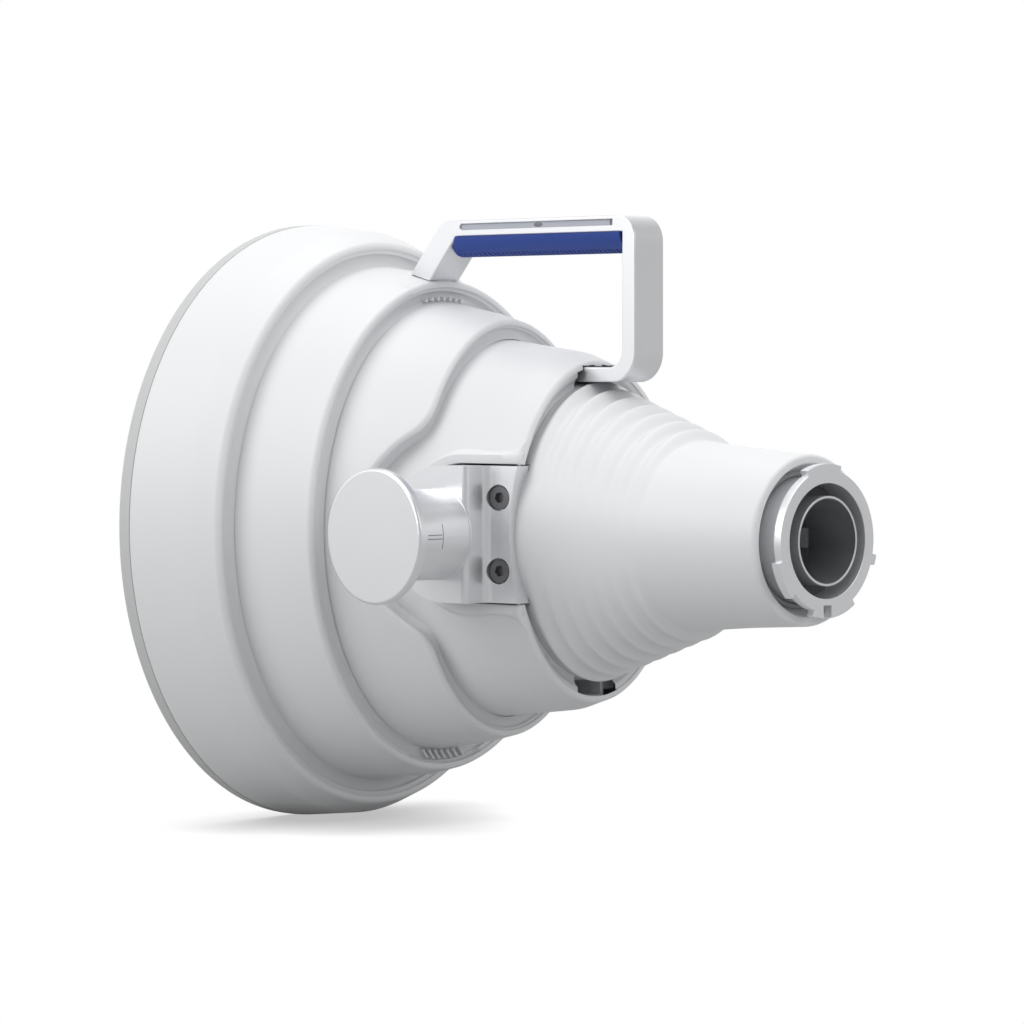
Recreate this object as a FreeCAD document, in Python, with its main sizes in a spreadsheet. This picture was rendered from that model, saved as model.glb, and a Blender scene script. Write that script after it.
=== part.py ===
import FreeCAD, Part
import math
import os
import re
import Sketcher
from FreeCAD import Rotation, Vector

# Horn antenna in a stepped white housing, carried on two trunnions, with a round waveguide port.
# The origin is the centre of the port's face. +X leaves the port along the horn's axis, +Z is up,
# and the horn looks towards -X. Distances named "_at" are measured from the port's face along -X.
# Half widths lie along Y and half heights along Z, because the housing is taller than it is wide.

doc = FreeCAD.newDocument("horn_antenna")
sheet = doc.addObject("Spreadsheet::Sheet", "sizes")

SIZES = [
    # front cover and rim
    ("rim_half_width", 131.0, "widest half width of the housing"),
    ("rim_half_height", 158.5, "widest half height of the housing"),
    ("seam_at", 360.5, "seam between front cover and front shell"),
    ("cover_depth", 10.0, "depth of the front cover outside the seam"),
    ("cover_round", 5.0, "round of the front cover's edge"),
    ("cover_face", 3.0, "thickness of the cover's face, which the waves pass"),
    ("seam_reveal", 0.6, "how far the front shell stands inside the cover"),
    ("shell_wall", 3.0, "wall of the moulded shells"),
    ("fit_gap", 0.3, "gap between pieces that fit into each other"),
    ("cut_past", 1.0, "how far a cutting solid runs past the face that it cuts"),
    # stepped shells
    ("crest_round", 2.2, "round of each shell's lip"),
    ("crest_land", 1.0, "flat land inside each lip"),
    ("step_undercut", 5.5, "how far each step's face runs forward to its root"),
    ("shell_lap", 8.0, "how far a shell reaches into the one before it"),
    ("front_crease_at", 324.0, "start of the front shell's rear facet"),
    ("front_crease_half_width", 122.0, "half width there"),
    ("front_crease_half_height", 154.5, "half height there"),
    ("front_lip_at", 308.5, "front shell's lip"),
    ("front_lip_half_width", 116.5, "half width of that lip"),
    ("front_lip_half_height", 148.0, "half height of that lip"),
    ("second_half_width", 104.0, "second shell's half width at its root"),
    ("second_half_height", 136.0, "second shell's half height at its root"),
    ("second_crease_at", 276.0, "start of the second shell's rear facet"),
    ("second_crease_half_width", 99.0, "half width there"),
    ("second_crease_half_height", 131.0, "half height there"),
    ("second_lip_at", 260.5, "second shell's lip"),
    ("second_lip_half_width", 96.5, "half width of that lip"),
    ("second_lip_half_height", 127.0, "half height of that lip"),
    ("third_half_width", 86.0, "third shell's half width at its root"),
    ("third_half_height", 117.0, "third shell's half height at its root"),
    ("third_crease_at", 229.0, "start of the third shell's rear facet"),
    ("third_crease_half_width", 73.5, "half width there"),
    ("third_crease_half_height", 110.5, "half height there"),
    ("third_lip_at", 213.0, "third shell's lip"),
    ("third_lip_half_width", 68.5, "half width of that lip"),
    ("third_lip_half_height", 106.5, "half height of that lip"),
    ("rear_half_width", 61.0, "rear shell's half width at its root"),
    ("rear_half_height", 97.5, "rear shell's half height at its root"),
    ("rear_crease_at", 167.0, "start of the rear shell's rear facet"),
    ("rear_crease_half_width", 62.0, "half width there"),
    ("rear_crease_half_height", 90.5, "half height there"),
    ("rear_lip_at", 151.0, "rear shell's lip"),
    ("rear_lip_half_width", 60.5, "half width of that lip"),
    ("rear_lip_half_height", 86.0, "half height of that lip"),
    ("rear_skirt_at", 256.0, "front edge of the rear shell, inside the third shell"),
    ("rear_skirt_half_width", 68.0, "half width of that edge"),
    ("rear_skirt_half_height", 103.5, "half height of that edge"),
    # neck
    ("neck_half_width", 52.5, "neck's half width at its root"),
    ("neck_lap", 3.0, "how far the neck goes through the rear shell's seat"),
    ("neck_half_height", 74.6, "neck's half height at its root"),
    ("ridge_end_at", 79.5, "last valley of the ridges, where the neck turns round"),
    ("ridge_pitch", 10.5, "distance between two ridges"),
    ("ridge_rise", 2.0, "height of a ridge above and below; it dies out at the sides"),
    ("neck_radius", 46.5, "neck's radius behind the ridges"),
    ("neck_waist_at", 49.5, "point halfway along the round neck"),
    ("neck_waist_radius", 43.6, "radius there"),
    ("neck_mouth_at", 11.0, "end of the neck round the port"),
    ("neck_mouth_radius", 41.2, "radius of that end"),
    ("neck_mouth_round", 2.5, "round of that end"),
    ("mouth_bore_radius", 36.6, "opening in the neck's end"),
    ("mouth_floor_at", 20.0, "floor of the recess round the port"),
    ("mouth_floor_radius", 34.0, "radius of that floor"),
    # port
    ("sleeve_radius", 21.5, "outside of the waveguide sleeve"),
    ("port_bore_radius", 20.3, "bore of the waveguide sleeve"),
    ("sleeve_length", 29.6, "length of the waveguide sleeve"),
    ("key_length", 5.4, "reach of the key tab past the sleeve"),
    ("key_width", 9.8, "width of the key tab"),
    ("flange_radius", 33.9, "port flange without its lugs"),
    ("lug_radius", 36.8, "port flange at its lugs"),
    ("flange_thickness", 4.5, "thickness of the port flange"),
    ("stem_radius", 30.3, "stem behind the flange"),
    ("recess_radius", 27.5, "ring recess round the sleeve"),
    ("recess_depth", 16.0, "depth of that recess"),
    ("web_thickness", 8.0, "web that holds the sleeve"),
    ("notch_width", 5.8, "index notch in the flange"),
    ("notch_root_radius", 30.6, "radius at the bottom of that notch"),
    ("gasket_thickness", 2.0, "ring gasket in the recess"),
    ("throat_at", 60.0, "joint between stem and horn"),
    ("throat_radius", 26.0, "bore of that joint"),
    ("throat_flange_radius", 38.0, "flanges of that joint"),
    ("throat_flange_thickness", 4.0, "thickness of each of those flanges"),
    ("throat_screw_circle", 34.0, "radius of the ring of throat screws"),
    ("throat_screw_radius", 1.5, "shank of a throat screw"),
    ("throat_head_radius", 2.7, "head of a throat screw"),
    ("throat_head_height", 2.6, "height of that head"),
    ("neck_ring_section", 1.4, "section radius of the ring seal on the stem"),
    # metal horn
    ("horn_wall", 2.0, "wall of the metal horn"),
    ("horn_neck_at", 152.0, "horn station inside the rear lip"),
    ("horn_neck_half_width", 34.0, "half width there"),
    ("horn_neck_half_height", 46.0, "half height there"),
    ("horn_waist_at", 222.0, "horn station in front of the trunnions"),
    ("horn_waist_half_width", 45.0, "half width there"),
    ("horn_waist_half_height", 76.0, "half height there"),
    ("horn_flare_at", 280.0, "horn station in the second shell"),
    ("horn_flare_half_width", 74.0, "half width there"),
    ("horn_flare_half_height", 106.0, "half height there"),
    ("horn_mouth_half_width", 117.0, "half width of the horn's mouth"),
    ("horn_mouth_half_height", 144.5, "half height of the horn's mouth"),
    ("ledge_at", 351.0, "ledge in the front shell that the horn's mouth sits on"),
    ("ledge_drop_wide", 6.2, "how far the seat on that ledge lies inside the rim at the sides"),
    ("ledge_drop_tall", 5.3, "how far it lies inside the rim above and below"),
    ("ledge_half_width", "=rim_half_width - ledge_drop_wide", "half width of that seat"),
    ("ledge_half_height", "=rim_half_height - ledge_drop_tall", "half height of that seat"),
    ("ledge_width", 4.0, "width of that ledge"),
    ("horn_flange_thickness", 3.0, "flange round the horn's mouth"),
    ("cover_gasket_thickness", 2.0, "gasket between horn and front cover"),
    # trunnions
    ("trunnion_at", 187.0, "axis of the trunnions"),
    ("disc_radius", 33.2, "end disc of a trunnion"),
    ("disc_thickness", 4.2, "thickness of that disc"),
    ("disc_face_out", 121.0, "outer face of that disc from the middle plane"),
    ("disc_round", 1.3, "round of the disc's edge"),
    ("spool_radius", 22.5, "spool that the bracket's clamp closes on"),
    ("spool_round", 3.0, "hollow round between spool and disc"),
    ("block_radius", 33.8, "round front of the trunnion's block, and its half height"),
    ("block_face_out", 76.5, "outer face of the block"),
    ("block_seat_out", 50.0, "seat of the block on the horn's pad"),
    ("block_rear_at", 150.5, "rear corners of the block"),
    ("block_hollow", 4.5, "how far the block's rear edge is hollowed"),
    ("strip_front_at", 168.4, "front end of the screw strip"),
    ("strip_front_out", 61.5, "height of the screw strip there"),
    ("strip_tilt", 10.7, "slope of the screw strip, in degrees"),
    ("cove_round", 4.5, "hollow round between strip and block"),
    ("block_round", 2.5, "round at the top of the block's rear wall"),
    ("screw_from_front", 7.1, "trunnion screws behind the strip's front end"),
    ("screw_half_spread", 18.1, "trunnion screws above and below the axis"),
    ("counterbore_radius", 6.5, "counterbore of a trunnion screw"),
    ("counterbore_depth", 5.0, "depth of that counterbore"),
    ("head_radius", 5.7, "head of a trunnion screw"),
    ("head_height", 4.2, "height of that head"),
    ("socket_across", 5.0, "hexagon socket across its flats"),
    ("socket_depth", 2.6, "depth of that socket"),
    ("shank_radius", 3.0, "shank of a trunnion screw"),
    ("shank_length", 20.0, "length of that shank"),
    ("pad_half_height", 30.0, "pad on the horn under a trunnion block"),
    ("pad_sink", 8.0, "how far that pad reaches into the horn's neck"),
    ("pad_rear_gap", 3.0, "how far that pad stops in front of the block's rear corners"),
    ("collar_width", 5.5, "collar of the rear shell round the block"),
    ("collar_rear_out", 55.9, "collar's face at the rear shell's lip"),
    ("collar_slope", 7.0, "slope of the collar's face, in degrees"),
    ("bay_radius", 60.0, "bay in the third shell round a trunnion"),
    ("bay_blend", 18.0, "round where the bay runs into the third shell's lip"),
    # handle
    ("handle_width", 21.0, "width of the handle's bar"),
    ("handle_top", 158.0, "top of the handle"),
    ("handle_bar", 8.4, "thickness of the handle's top bar"),
    ("handle_rear_at", 116.0, "rear face of the handle"),
    ("handle_leg", 8.8, "thickness of the rear leg"),
    ("handle_return", 7.5, "thickness of the return leg"),
    ("handle_return_top", 82.5, "top of the return leg"),
    ("handle_return_at", 184.0, "end of the return leg in its socket"),
    ("handle_front_at", 253.0, "front top corner of the handle"),
    ("front_leg_run", 17.5, "front leg's length along the axis"),
    ("front_leg_lean", 41.0, "lean of the front leg from upright, in degrees"),
    ("front_leg_foot", 117.0, "height that the front leg is cut from"),
    ("handle_front_round", 12.0, "round of the front top corner"),
    ("handle_rear_round", 13.0, "round of the rear top corner"),
    ("handle_low_round", 15.0, "round of the rear bottom corner"),
    ("handle_inner_round", 9.0, "round inside the rear bottom corner"),
    ("handle_edge", 0.8, "broken edges of the handle"),
    ("rail_height", 3.0, "side channel of the top bar"),
    ("rail_drop", 1.9, "bar above that channel"),
    ("rail_depth", 2.0, "depth of that channel"),
    ("rail_front_at", 240.0, "front end of the channel"),
    ("rail_rear_at", 134.0, "rear end of the channel"),
    ("grip_drop", 10.4, "depth of the grip under the bar"),
    ("grip_half_width", 11.3, "half width of the grip"),
    ("grip_end_gap", 1.0, "gap between the grip's rear end and the leg"),
    # sockets and lip clips
    ("socket_mouth_at", 161.5, "mouth of the handle sockets"),
    ("socket_end_at", 190.0, "front end of the handle sockets"),
    ("socket_side", 2.4, "side wall of a socket"),
    ("socket_cap", 1.8, "upper and lower wall of a socket"),
    ("slot_start", 7.5, "how far in front of the rear lip a socket's slot starts"),
    ("notch_end_at", 138.0, "rear end of the notches that clear the return leg"),
    ("clip_half_width", 25.0, "half width of the lip clips"),
    ("clip_depth", 9.0, "how far a lip clip runs forward from the lip"),
    ("clip_root_drop", 10.5, "how far a lip clip reaches down from the lip"),
]

sheet.set("A1", "name")
sheet.set("B1", "value")
sheet.set("C1", "meaning")
for row, (alias, value, meaning) in enumerate(SIZES, start=2):
    sheet.set(f"A{row}", alias)
    sheet.set(f"B{row}", str(value))
    sheet.set(f"C{row}", meaning)
    sheet.setAlias(f"B{row}", alias)
doc.recompute()


ROUND_STEPS = 3
ALIASES = {alias for alias, _, _ in SIZES}


def cell(formula):
    """A formula in the sheet's names, written for setExpression."""
    def with_sheet(match):
        word = match.group(0)
        return f"sizes.{word}" if word in ALIASES else word
    return re.sub(r"[a-z_]+", with_sheet, formula)


def bind(item, **formulas):
    """Ties properties of an object to formulas; x, y and z are its place."""
    for key, formula in formulas.items():
        target = f"Placement.Base.{key}" if key in ("x", "y", "z") else key
        item.setExpression(target, cell(str(formula)))
    return item


def number(alias):
    """The present value of a size."""
    return float(sheet.get(alias))


def section(name, at, half_width, half_height):
    """An upright ellipse across the axis, or a circle where both halves are the same."""
    ellipse = doc.addObject("Part::Ellipse", name)
    ellipse.Placement.Rotation = Rotation(Vector(0, 1, 0), -90)
    bind(ellipse, MajorRadius=half_height, MinorRadius=half_width, x=f"- ( {at} )")
    return ellipse


def tunnel(name, stations, ruled=True):
    """A solid through elliptical sections; each station is (at, half width, half height)."""
    loft = doc.addObject("Part::Loft", name)
    loft.Sections = [section(f"{name}_section", *station) for station in stations]
    loft.Solid = True
    loft.Ruled = ruled
    return loft


def rounded(at, wide, tall, radius, toward):
    """Sections round the edge of a tunnel's end; toward is + or - along the stations."""
    found = []
    for index in range(ROUND_STEPS + 1):
        turn = f"{90 * index / ROUND_STEPS} deg"
        inward = f"{radius} * ( 1 - cos({turn}) )"
        found.append((f"{at} {toward} {radius} * ( 1 - sin({turn}) )",
                      f"{wide} - {inward}", f"{tall} - {inward}"))
    return found


def cut(name, base, tools):
    """The base less each of the tools in turn."""
    shape = base
    for tool in tools:
        step = doc.addObject("Part::Cut", f"{name}_cut")
        step.Base = shape
        step.Tool = tool
        shape = step
    return shape


def fuse(name, pieces):
    joined = doc.addObject("Part::MultiFuse", name)
    joined.Shapes = pieces
    return joined


def common(name, first, second):
    shared = doc.addObject("Part::Common", name)
    shared.Base = first
    shared.Tool = second
    return shared


def box(name, x, y, z, length, width, height):
    """A box from its low corner."""
    block = doc.addObject("Part::Box", name)
    bind(block, x=x, y=y, z=z, Length=length, Width=width, Height=height)
    return block


def rod(name, radius, height, direction, x="0", y="0", z="0"):
    """A cylinder that starts at a point and runs along a direction."""
    cylinder = doc.addObject("Part::Cylinder", name)
    cylinder.Placement.Rotation = Rotation(Vector(0, 0, 1), direction)
    bind(cylinder, Radius=radius, Height=height, x=x, y=y, z=z)
    return cylinder


def mirrored(name, source, normal):
    twin = doc.addObject("Part::Mirroring", name)
    twin.Source = source
    twin.Normal = normal
    return twin


def origin_feature(body, role):
    """The plane or axis of a body's origin that has this role."""
    return next(item for item in body.Origin.OriginFeatures if item.Role == role)


def outline(body, name, plane, corners):
    """A closed sketch of straight sides on a plane of the body; each corner is two formulas."""
    sketch = body.newObject("Sketcher::SketchObject", name)
    sketch.AttachmentSupport = [(origin_feature(body, plane), "")]
    sketch.MapMode = "FlatFace"
    count = len(corners)
    start = [Vector(math.cos(2 * math.pi * index / count), math.sin(2 * math.pi * index / count), 0)
             for index in range(count)]
    for index in range(count):
        sketch.addGeometry(Part.LineSegment(start[index], start[(index + 1) % count]), False)
    for index in range(count):
        sketch.addConstraint(Sketcher.Constraint("Coincident", index, 2, (index + 1) % count, 1))
    for index, pair in enumerate(corners):
        for kind, formula in zip(("DistanceX", "DistanceY"), pair):
            place = start[index].x if kind == "DistanceX" else start[index].y
            row = sketch.addConstraint(Sketcher.Constraint(kind, -1, 1, index, 1, place))
            sketch.renameConstraint(row, f"{kind.lower()}_{index}")
            sketch.setExpression(f"Constraints.{kind.lower()}_{index}", cell(formula))
    return sketch


SUBPARTS = {}


def subpart(label, item):
    """Gives a finished object the name of its file."""
    item.Label = label
    SUBPARTS[label] = item
    return item


REARWARD = Vector(1, 0, 0)
FORWARD = Vector(-1, 0, 0)
LEFT = Vector(0, -1, 0)
UP = Vector(0, 0, 1)


# Stepped shells. Each is a tunnel of elliptical sections with a rounded lip at its rear end.
# A step's face runs forward from inside the lip to the root of the next shell.

def outer_form(shell, lead):
    """A shell's outside from its lead sections over its crease to its rounded lip."""
    crease = (f"{shell}_crease_at", f"{shell}_crease_half_width", f"{shell}_crease_half_height")
    lip = rounded(f"{shell}_lip_at", f"{shell}_lip_half_width", f"{shell}_lip_half_height",
                  "crest_round", "+")
    return tunnel(f"{shell}_outside", lead + [crease] + lip)


def step_face(shell, inner):
    """The space inside a shell's lip, from the lip's land down to the next shell's root."""
    lip = f"{shell}_lip_at"
    wide = f"{shell}_lip_half_width - crest_round - crest_land"
    tall = f"{shell}_lip_half_height - crest_round - crest_land"
    sections = [(f"{lip} - cut_past", wide, tall), (lip, wide, tall),
                (f"{lip} + step_undercut", f"{inner}_half_width + fit_gap",
                 f"{inner}_half_height + fit_gap")]
    return tunnel(f"{shell}_step", sections)


def next_shell_hole(shell, inner):
    """The hole in a shell's rear flange that the next shell passes."""
    lip = f"{shell}_lip_at"
    wide = f"{inner}_half_width + fit_gap"
    tall = f"{inner}_half_height + fit_gap"
    sections = [(f"{lip} - cut_past", wide, tall),
                (f"{lip} + step_undercut + shell_wall + 2 * cut_past", wide, tall)]
    return tunnel(f"{shell}_hole", sections)


def shell_cavity(shell, lead):
    """The hollow of a shell, one wall inside it, from its lead sections to its rear flange."""
    crease = (f"{shell}_crease_at", f"{shell}_crease_half_width - shell_wall",
              f"{shell}_crease_half_height - shell_wall")
    flange = (f"{shell}_lip_at + step_undercut + shell_wall",
              f"{shell}_lip_half_width - shell_wall", f"{shell}_lip_half_height - shell_wall")
    return tunnel(f"{shell}_cavity", lead + [crease, flange])


front_wide = "rim_half_width - seam_reveal"
front_tall = "rim_half_height - seam_reveal"
front_outside = outer_form("front", [("seam_at", front_wide, front_tall)])
ledge_seat = tunnel("ledge_seat", [
    ("seam_at + cut_past", "ledge_half_width + fit_gap", "ledge_half_height + fit_gap"),
    ("ledge_at", "ledge_half_width + fit_gap", "ledge_half_height + fit_gap")])
ledge_hole = tunnel("ledge_hole", [
    ("ledge_at + cut_past", "ledge_half_width - ledge_width", "ledge_half_height - ledge_width"),
    ("ledge_at - shell_wall - cut_past", "ledge_half_width - ledge_width",
     "ledge_half_height - ledge_width")])
front_hollow = shell_cavity("front", [
    ("ledge_at - shell_wall", "ledge_half_width", "ledge_half_height")])
subpart("front_shell", cut("front", front_outside, [
    ledge_seat, ledge_hole, front_hollow, next_shell_hole("front", "second"),
    step_face("front", "second")]))


def lapped_shell(shell, outer, inner):
    """A shell that starts inside the lip of the one before it and holds the next one."""
    root = f"{outer}_lip_at + step_undercut"
    wide = f"{shell}_half_width"
    tall = f"{shell}_half_height"
    lead = [(f"{root} + shell_lap", wide, tall), (root, wide, tall)]
    hollow = [(f"{root} + shell_lap + cut_past", f"{wide} - shell_wall", f"{tall} - shell_wall"),
              (root, f"{wide} - shell_wall", f"{tall} - shell_wall")]
    outside = outer_form(shell, lead)
    return cut(shell, outside, [shell_cavity(shell, hollow), next_shell_hole(shell, inner),
                                step_face(shell, inner)])


second_whole = lapped_shell("second", "front", "third")


def lip_block(name, slack):
    """The block of space that the upper lip clip takes out of the second shell's lip."""
    wide = f"clip_half_width + {slack}"
    return box(name, f"- second_lip_at - clip_depth - {slack}", f"- ( {wide} )",
               f"second_lip_half_height - clip_root_drop - {slack}",
               f"clip_depth + {slack} + 2 * cut_past", f"2 * ( {wide} )",
               f"clip_root_drop + {slack} + 2 * cut_past")


upper_seat = lip_block("upper_clip_seat", "fit_gap")
lower_seat = mirrored("lower_clip_seat", upper_seat, UP)
upper_space = lip_block("upper_clip_space", "0")
upper_clip = subpart("upper_lip_clip", common("upper_clip", second_whole, upper_space))
lower_clip = subpart("lower_lip_clip", mirrored("lower_clip", upper_clip, UP))
second_body = subpart("second_shell", cut("second_shell", second_whole, [upper_seat, lower_seat]))

# The third shell has a round bay on each side, which clears the trunnion and runs into the lip.
third_whole = lapped_shell("third", "second", "rear")


def bay_outline():
    """The bay in side view: an arc round the trunnion, two blends and a straight rear end."""
    centre_x = -number("trunnion_at")
    lip_x = -number("third_lip_at")
    bay = number("bay_radius")
    blend = number("bay_blend")
    blend_x = lip_x - blend
    blend_z = ((bay + blend) ** 2 - (blend_x - centre_x) ** 2) ** 0.5
    touch = Vector(centre_x + (blend_x - centre_x) * bay / (bay + blend), 0,
                   blend_z * bay / (bay + blend))
    lip_touch = Vector(lip_x, 0, blend_z)
    toward_lip = (lip_touch - Vector(blend_x, 0, blend_z)).normalize()
    toward_arc = (touch - Vector(blend_x, 0, blend_z)).normalize()
    middle = (toward_lip + toward_arc).normalize() * blend + Vector(blend_x, 0, blend_z)

    def down(point):
        return Vector(point.x, 0, -point.z)

    rear = Vector(lip_x + 2 * number("crest_round"), 0, blend_z)
    edges = [Part.LineSegment(rear, lip_touch).toShape(),
             Part.Arc(lip_touch, middle, touch).toShape(),
             Part.Arc(touch, Vector(centre_x - bay, 0, 0), down(touch)).toShape(),
             Part.Arc(down(touch), down(middle), down(lip_touch)).toShape(),
             Part.LineSegment(down(lip_touch), down(rear)).toShape(),
             Part.LineSegment(down(rear), rear).toShape()]
    return Part.Face(Part.Wire(edges))


bay_tool = doc.addObject("Part::Feature", "bay_tool")
bay_tool.Shape = bay_outline().extrude(Vector(0, 2 * number("rim_half_width"), 0))
bay_tool.Placement.Base = Vector(0, -number("rim_half_width"), 0)
third_body = subpart("third_shell", cut("third_shell", third_whole, [bay_tool]))

# The rear shell reaches forward inside the third one, so that it closes the bays, and has a
# collar round each trunnion block.


def block_profile(name, slack, low, high, rear="0"):
    """The trunnion block's outline seen from the side, wider by slack and longer by rear."""
    depth = f"( {high} ) - ( {low} )"
    nose = rod(f"{name}_nose", f"block_radius + {slack}", depth, LEFT,
               x="- trunnion_at", y=f"- ( {low} )")
    body = box(f"{name}_body", "- trunnion_at", f"- ( {high} )", f"- block_radius - ( {slack} )",
               f"trunnion_at - block_rear_at + {rear}", depth, f"2 * ( block_radius + {slack} )")
    return fuse(name, [body, nose])


REAR_ROOT = "third_lip_at + step_undercut + shell_wall + cut_past"
rear_lead = [("rear_skirt_at", "rear_skirt_half_width", "rear_skirt_half_height"),
             (REAR_ROOT, "rear_half_width", "rear_half_height")]
rear_outside = outer_form("rear", rear_lead)
collar_block = block_profile("collar_block", "fit_gap + collar_width", "block_seat_out",
                             "disc_face_out")
collar_face = doc.addObject("Part::Box", "collar_face")
collar_face.Placement.Rotation = Rotation(Vector(0, 0, 1), 180 + number("collar_slope"))
bind(collar_face, Length="2 * trunnion_at", Width="disc_face_out", Height="4 * block_radius",
     x="- rear_lip_at + block_radius * cos(collar_slope * 1 deg)",
     y="- collar_rear_out + block_radius * sin(collar_slope * 1 deg)", z="- 2 * block_radius")
behind_lip = box("behind_lip", "- rear_lip_at", "- disc_face_out - cut_past", "- trunnion_at",
                 "rear_lip_at", "disc_face_out + 2 * cut_past", "2 * trunnion_at")
left_collar = cut("left_collar", collar_block, [collar_face, behind_lip])
right_collar = mirrored("right_collar", left_collar, LEFT)
left_pocket = block_profile("block_pocket", "fit_gap", "horn_neck_half_width", "disc_face_out")
pocket_rear = box("pocket_rear", "- block_rear_at - cut_past", "- disc_face_out",
                  "- block_radius - fit_gap", "block_rear_at - notch_end_at",
                  "disc_face_out - horn_neck_half_width", "2 * ( block_radius + fit_gap )")
left_opening = fuse("left_opening", [left_pocket, pocket_rear])
right_opening = mirrored("right_opening", left_opening, LEFT)

# Sockets for the handle's return leg, one above the neck and one below it.
SOCKET_HALF_WIDTH = "handle_width / 2 + fit_gap + socket_side"
SOCKET_LOW = "handle_return_top - handle_return - fit_gap - socket_cap"
SOCKET_HEIGHT = "handle_return + 2 * ( fit_gap + socket_cap )"
SOCKET_MOUTH = "rear_lip_at + step_undercut + shell_wall + fit_gap"
socket_block = box("socket_block", "- socket_end_at", f"- ( {SOCKET_HALF_WIDTH} )", SOCKET_LOW,
                   f"socket_end_at - ( {SOCKET_MOUTH} )", f"2 * ( {SOCKET_HALF_WIDTH} )",
                   SOCKET_HEIGHT)
socket_bore = box("socket_bore", "- handle_return_at - fit_gap",
                  "- handle_width / 2 - fit_gap", "handle_return_top - handle_return - fit_gap",
                  f"handle_return_at + 5 * cut_past + fit_gap - ( {SOCKET_MOUTH} )",
                  "handle_width + 2 * fit_gap", "handle_return + 2 * fit_gap")
upper_socket = subpart("upper_handle_socket", cut("upper_socket", socket_block, [socket_bore]))
subpart("lower_handle_socket", mirrored("lower_socket", upper_socket, UP))
socket_slot = box("socket_slot", "- socket_end_at", f"- ( {SOCKET_HALF_WIDTH} + fit_gap )",
                  f"{SOCKET_LOW} - fit_gap", "socket_end_at - rear_lip_at - slot_start",
                  f"2 * ( {SOCKET_HALF_WIDTH} + fit_gap )", f"{SOCKET_HEIGHT} + 2 * fit_gap")
leg_notch = box("leg_notch", "- socket_end_at", "- handle_width / 2 - fit_gap",
                f"{SOCKET_LOW} - fit_gap", "socket_end_at - notch_end_at",
                "handle_width + 2 * fit_gap",
                "handle_return + 3 * fit_gap + socket_cap")
upper_passage = fuse("upper_passage", [socket_slot, leg_notch])
lower_passage = mirrored("lower_passage", socket_slot, UP)

rear_hollow = shell_cavity("rear", [
    ("rear_skirt_at + cut_past", "rear_skirt_half_width - shell_wall",
     "rear_skirt_half_height - shell_wall"),
    (REAR_ROOT, "rear_half_width - shell_wall", "rear_half_height - shell_wall")])
rear_notched = cut("rear_notched", rear_outside, [upper_passage, lower_passage])
rear_solid = fuse("rear_solid", [rear_notched, left_collar, right_collar])
subpart("rear_shell", cut("rear", rear_solid, [
    rear_hollow, next_shell_hole("rear", "neck"), step_face("rear", "neck"), left_opening,
    right_opening]))

# Neck. Its base has soft ridges above and below that die out at the sides, because only the
# half heights of its sections rise and fall. Behind them it is round and ends round the port.
NECK_ROOT = "rear_lip_at + step_undercut"
ridge_count = int((number("rear_lip_at") - number("ridge_end_at")) / number("ridge_pitch"))


def ridge_sections():
    """Four sections for each ridge, from the root on: a sharp valley and a round crest."""
    run = f"( {NECK_ROOT} - ridge_end_at )"
    found = []
    for index in range(ridge_count, 0, -1):
        for quarter in range(4):
            place = index - quarter / 4
            share = f"( {place} * ridge_pitch / {run} )"
            found.append((
                f"ridge_end_at + {place} * ridge_pitch",
                f"neck_radius + ( neck_half_width - neck_radius ) * {share}",
                f"neck_radius + ( neck_half_height - neck_radius ) * {share}"
                f" + ridge_rise * sin({45 * quarter} deg)"))
    return found


neck_outside = tunnel("neck_outside", [
    (f"{NECK_ROOT} + neck_lap", "neck_half_width", "neck_half_height"),
    (NECK_ROOT, "neck_half_width", "neck_half_height"),
    *ridge_sections(),
    ("ridge_end_at", "neck_radius", "neck_radius"),
    ("neck_waist_at", "neck_waist_radius", "neck_waist_radius"),
    *rounded("neck_mouth_at", "neck_mouth_radius", "neck_mouth_radius", "neck_mouth_round", "+")])
neck_cavity = tunnel("neck_cavity", [
    (f"{NECK_ROOT} + neck_lap + cut_past", "neck_half_width - shell_wall",
     "neck_half_height - shell_wall"),
    (NECK_ROOT, "neck_half_width - shell_wall", "neck_half_height - shell_wall - ridge_rise"),
    ("ridge_end_at", "neck_radius - shell_wall", "neck_radius - shell_wall"),
    ("mouth_floor_at + shell_wall", "mouth_floor_radius + shell_wall",
     "mouth_floor_radius + shell_wall")])
mouth_recess = tunnel("mouth_recess", [
    ("mouth_floor_at", "mouth_floor_radius", "mouth_floor_radius"),
    ("neck_mouth_at", "mouth_bore_radius", "mouth_bore_radius"),
    ("neck_mouth_at - cut_past", "mouth_bore_radius", "mouth_bore_radius")])
stem_hole = rod("stem_hole", "stem_radius + fit_gap", "shell_wall + 4 * cut_past", FORWARD,
                x="- mouth_floor_at + 2 * cut_past")
left_relief = block_profile("neck_relief", "fit_gap", "horn_neck_half_width", "disc_face_out",
                            "fit_gap")
right_relief = mirrored("right_relief", left_relief, LEFT)
subpart("neck_cover", cut("neck", neck_outside, [
    neck_cavity, mouth_recess, stem_hole, left_relief, right_relief]))

# Port: a turned flange with bayonet lugs on a stem, and a thin sleeve with a key tab in it.


def revolved(name, corners):
    """A turned solid about the axis; each corner is (at, radius) and the outline is closed."""
    body = doc.addObject("PartDesign::Body", name)
    sketch = outline(body, f"{name}_profile", "XZ_Plane",
                     [(f"- ( {at} )", radius) for at, radius in corners])
    turn = body.newObject("PartDesign::Revolution", f"{name}_turn")
    turn.Profile = sketch
    turn.ReferenceAxis = (origin_feature(body, "X_Axis"), [""])
    turn.Angle = 360
    body.Tip = turn
    return body


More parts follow.
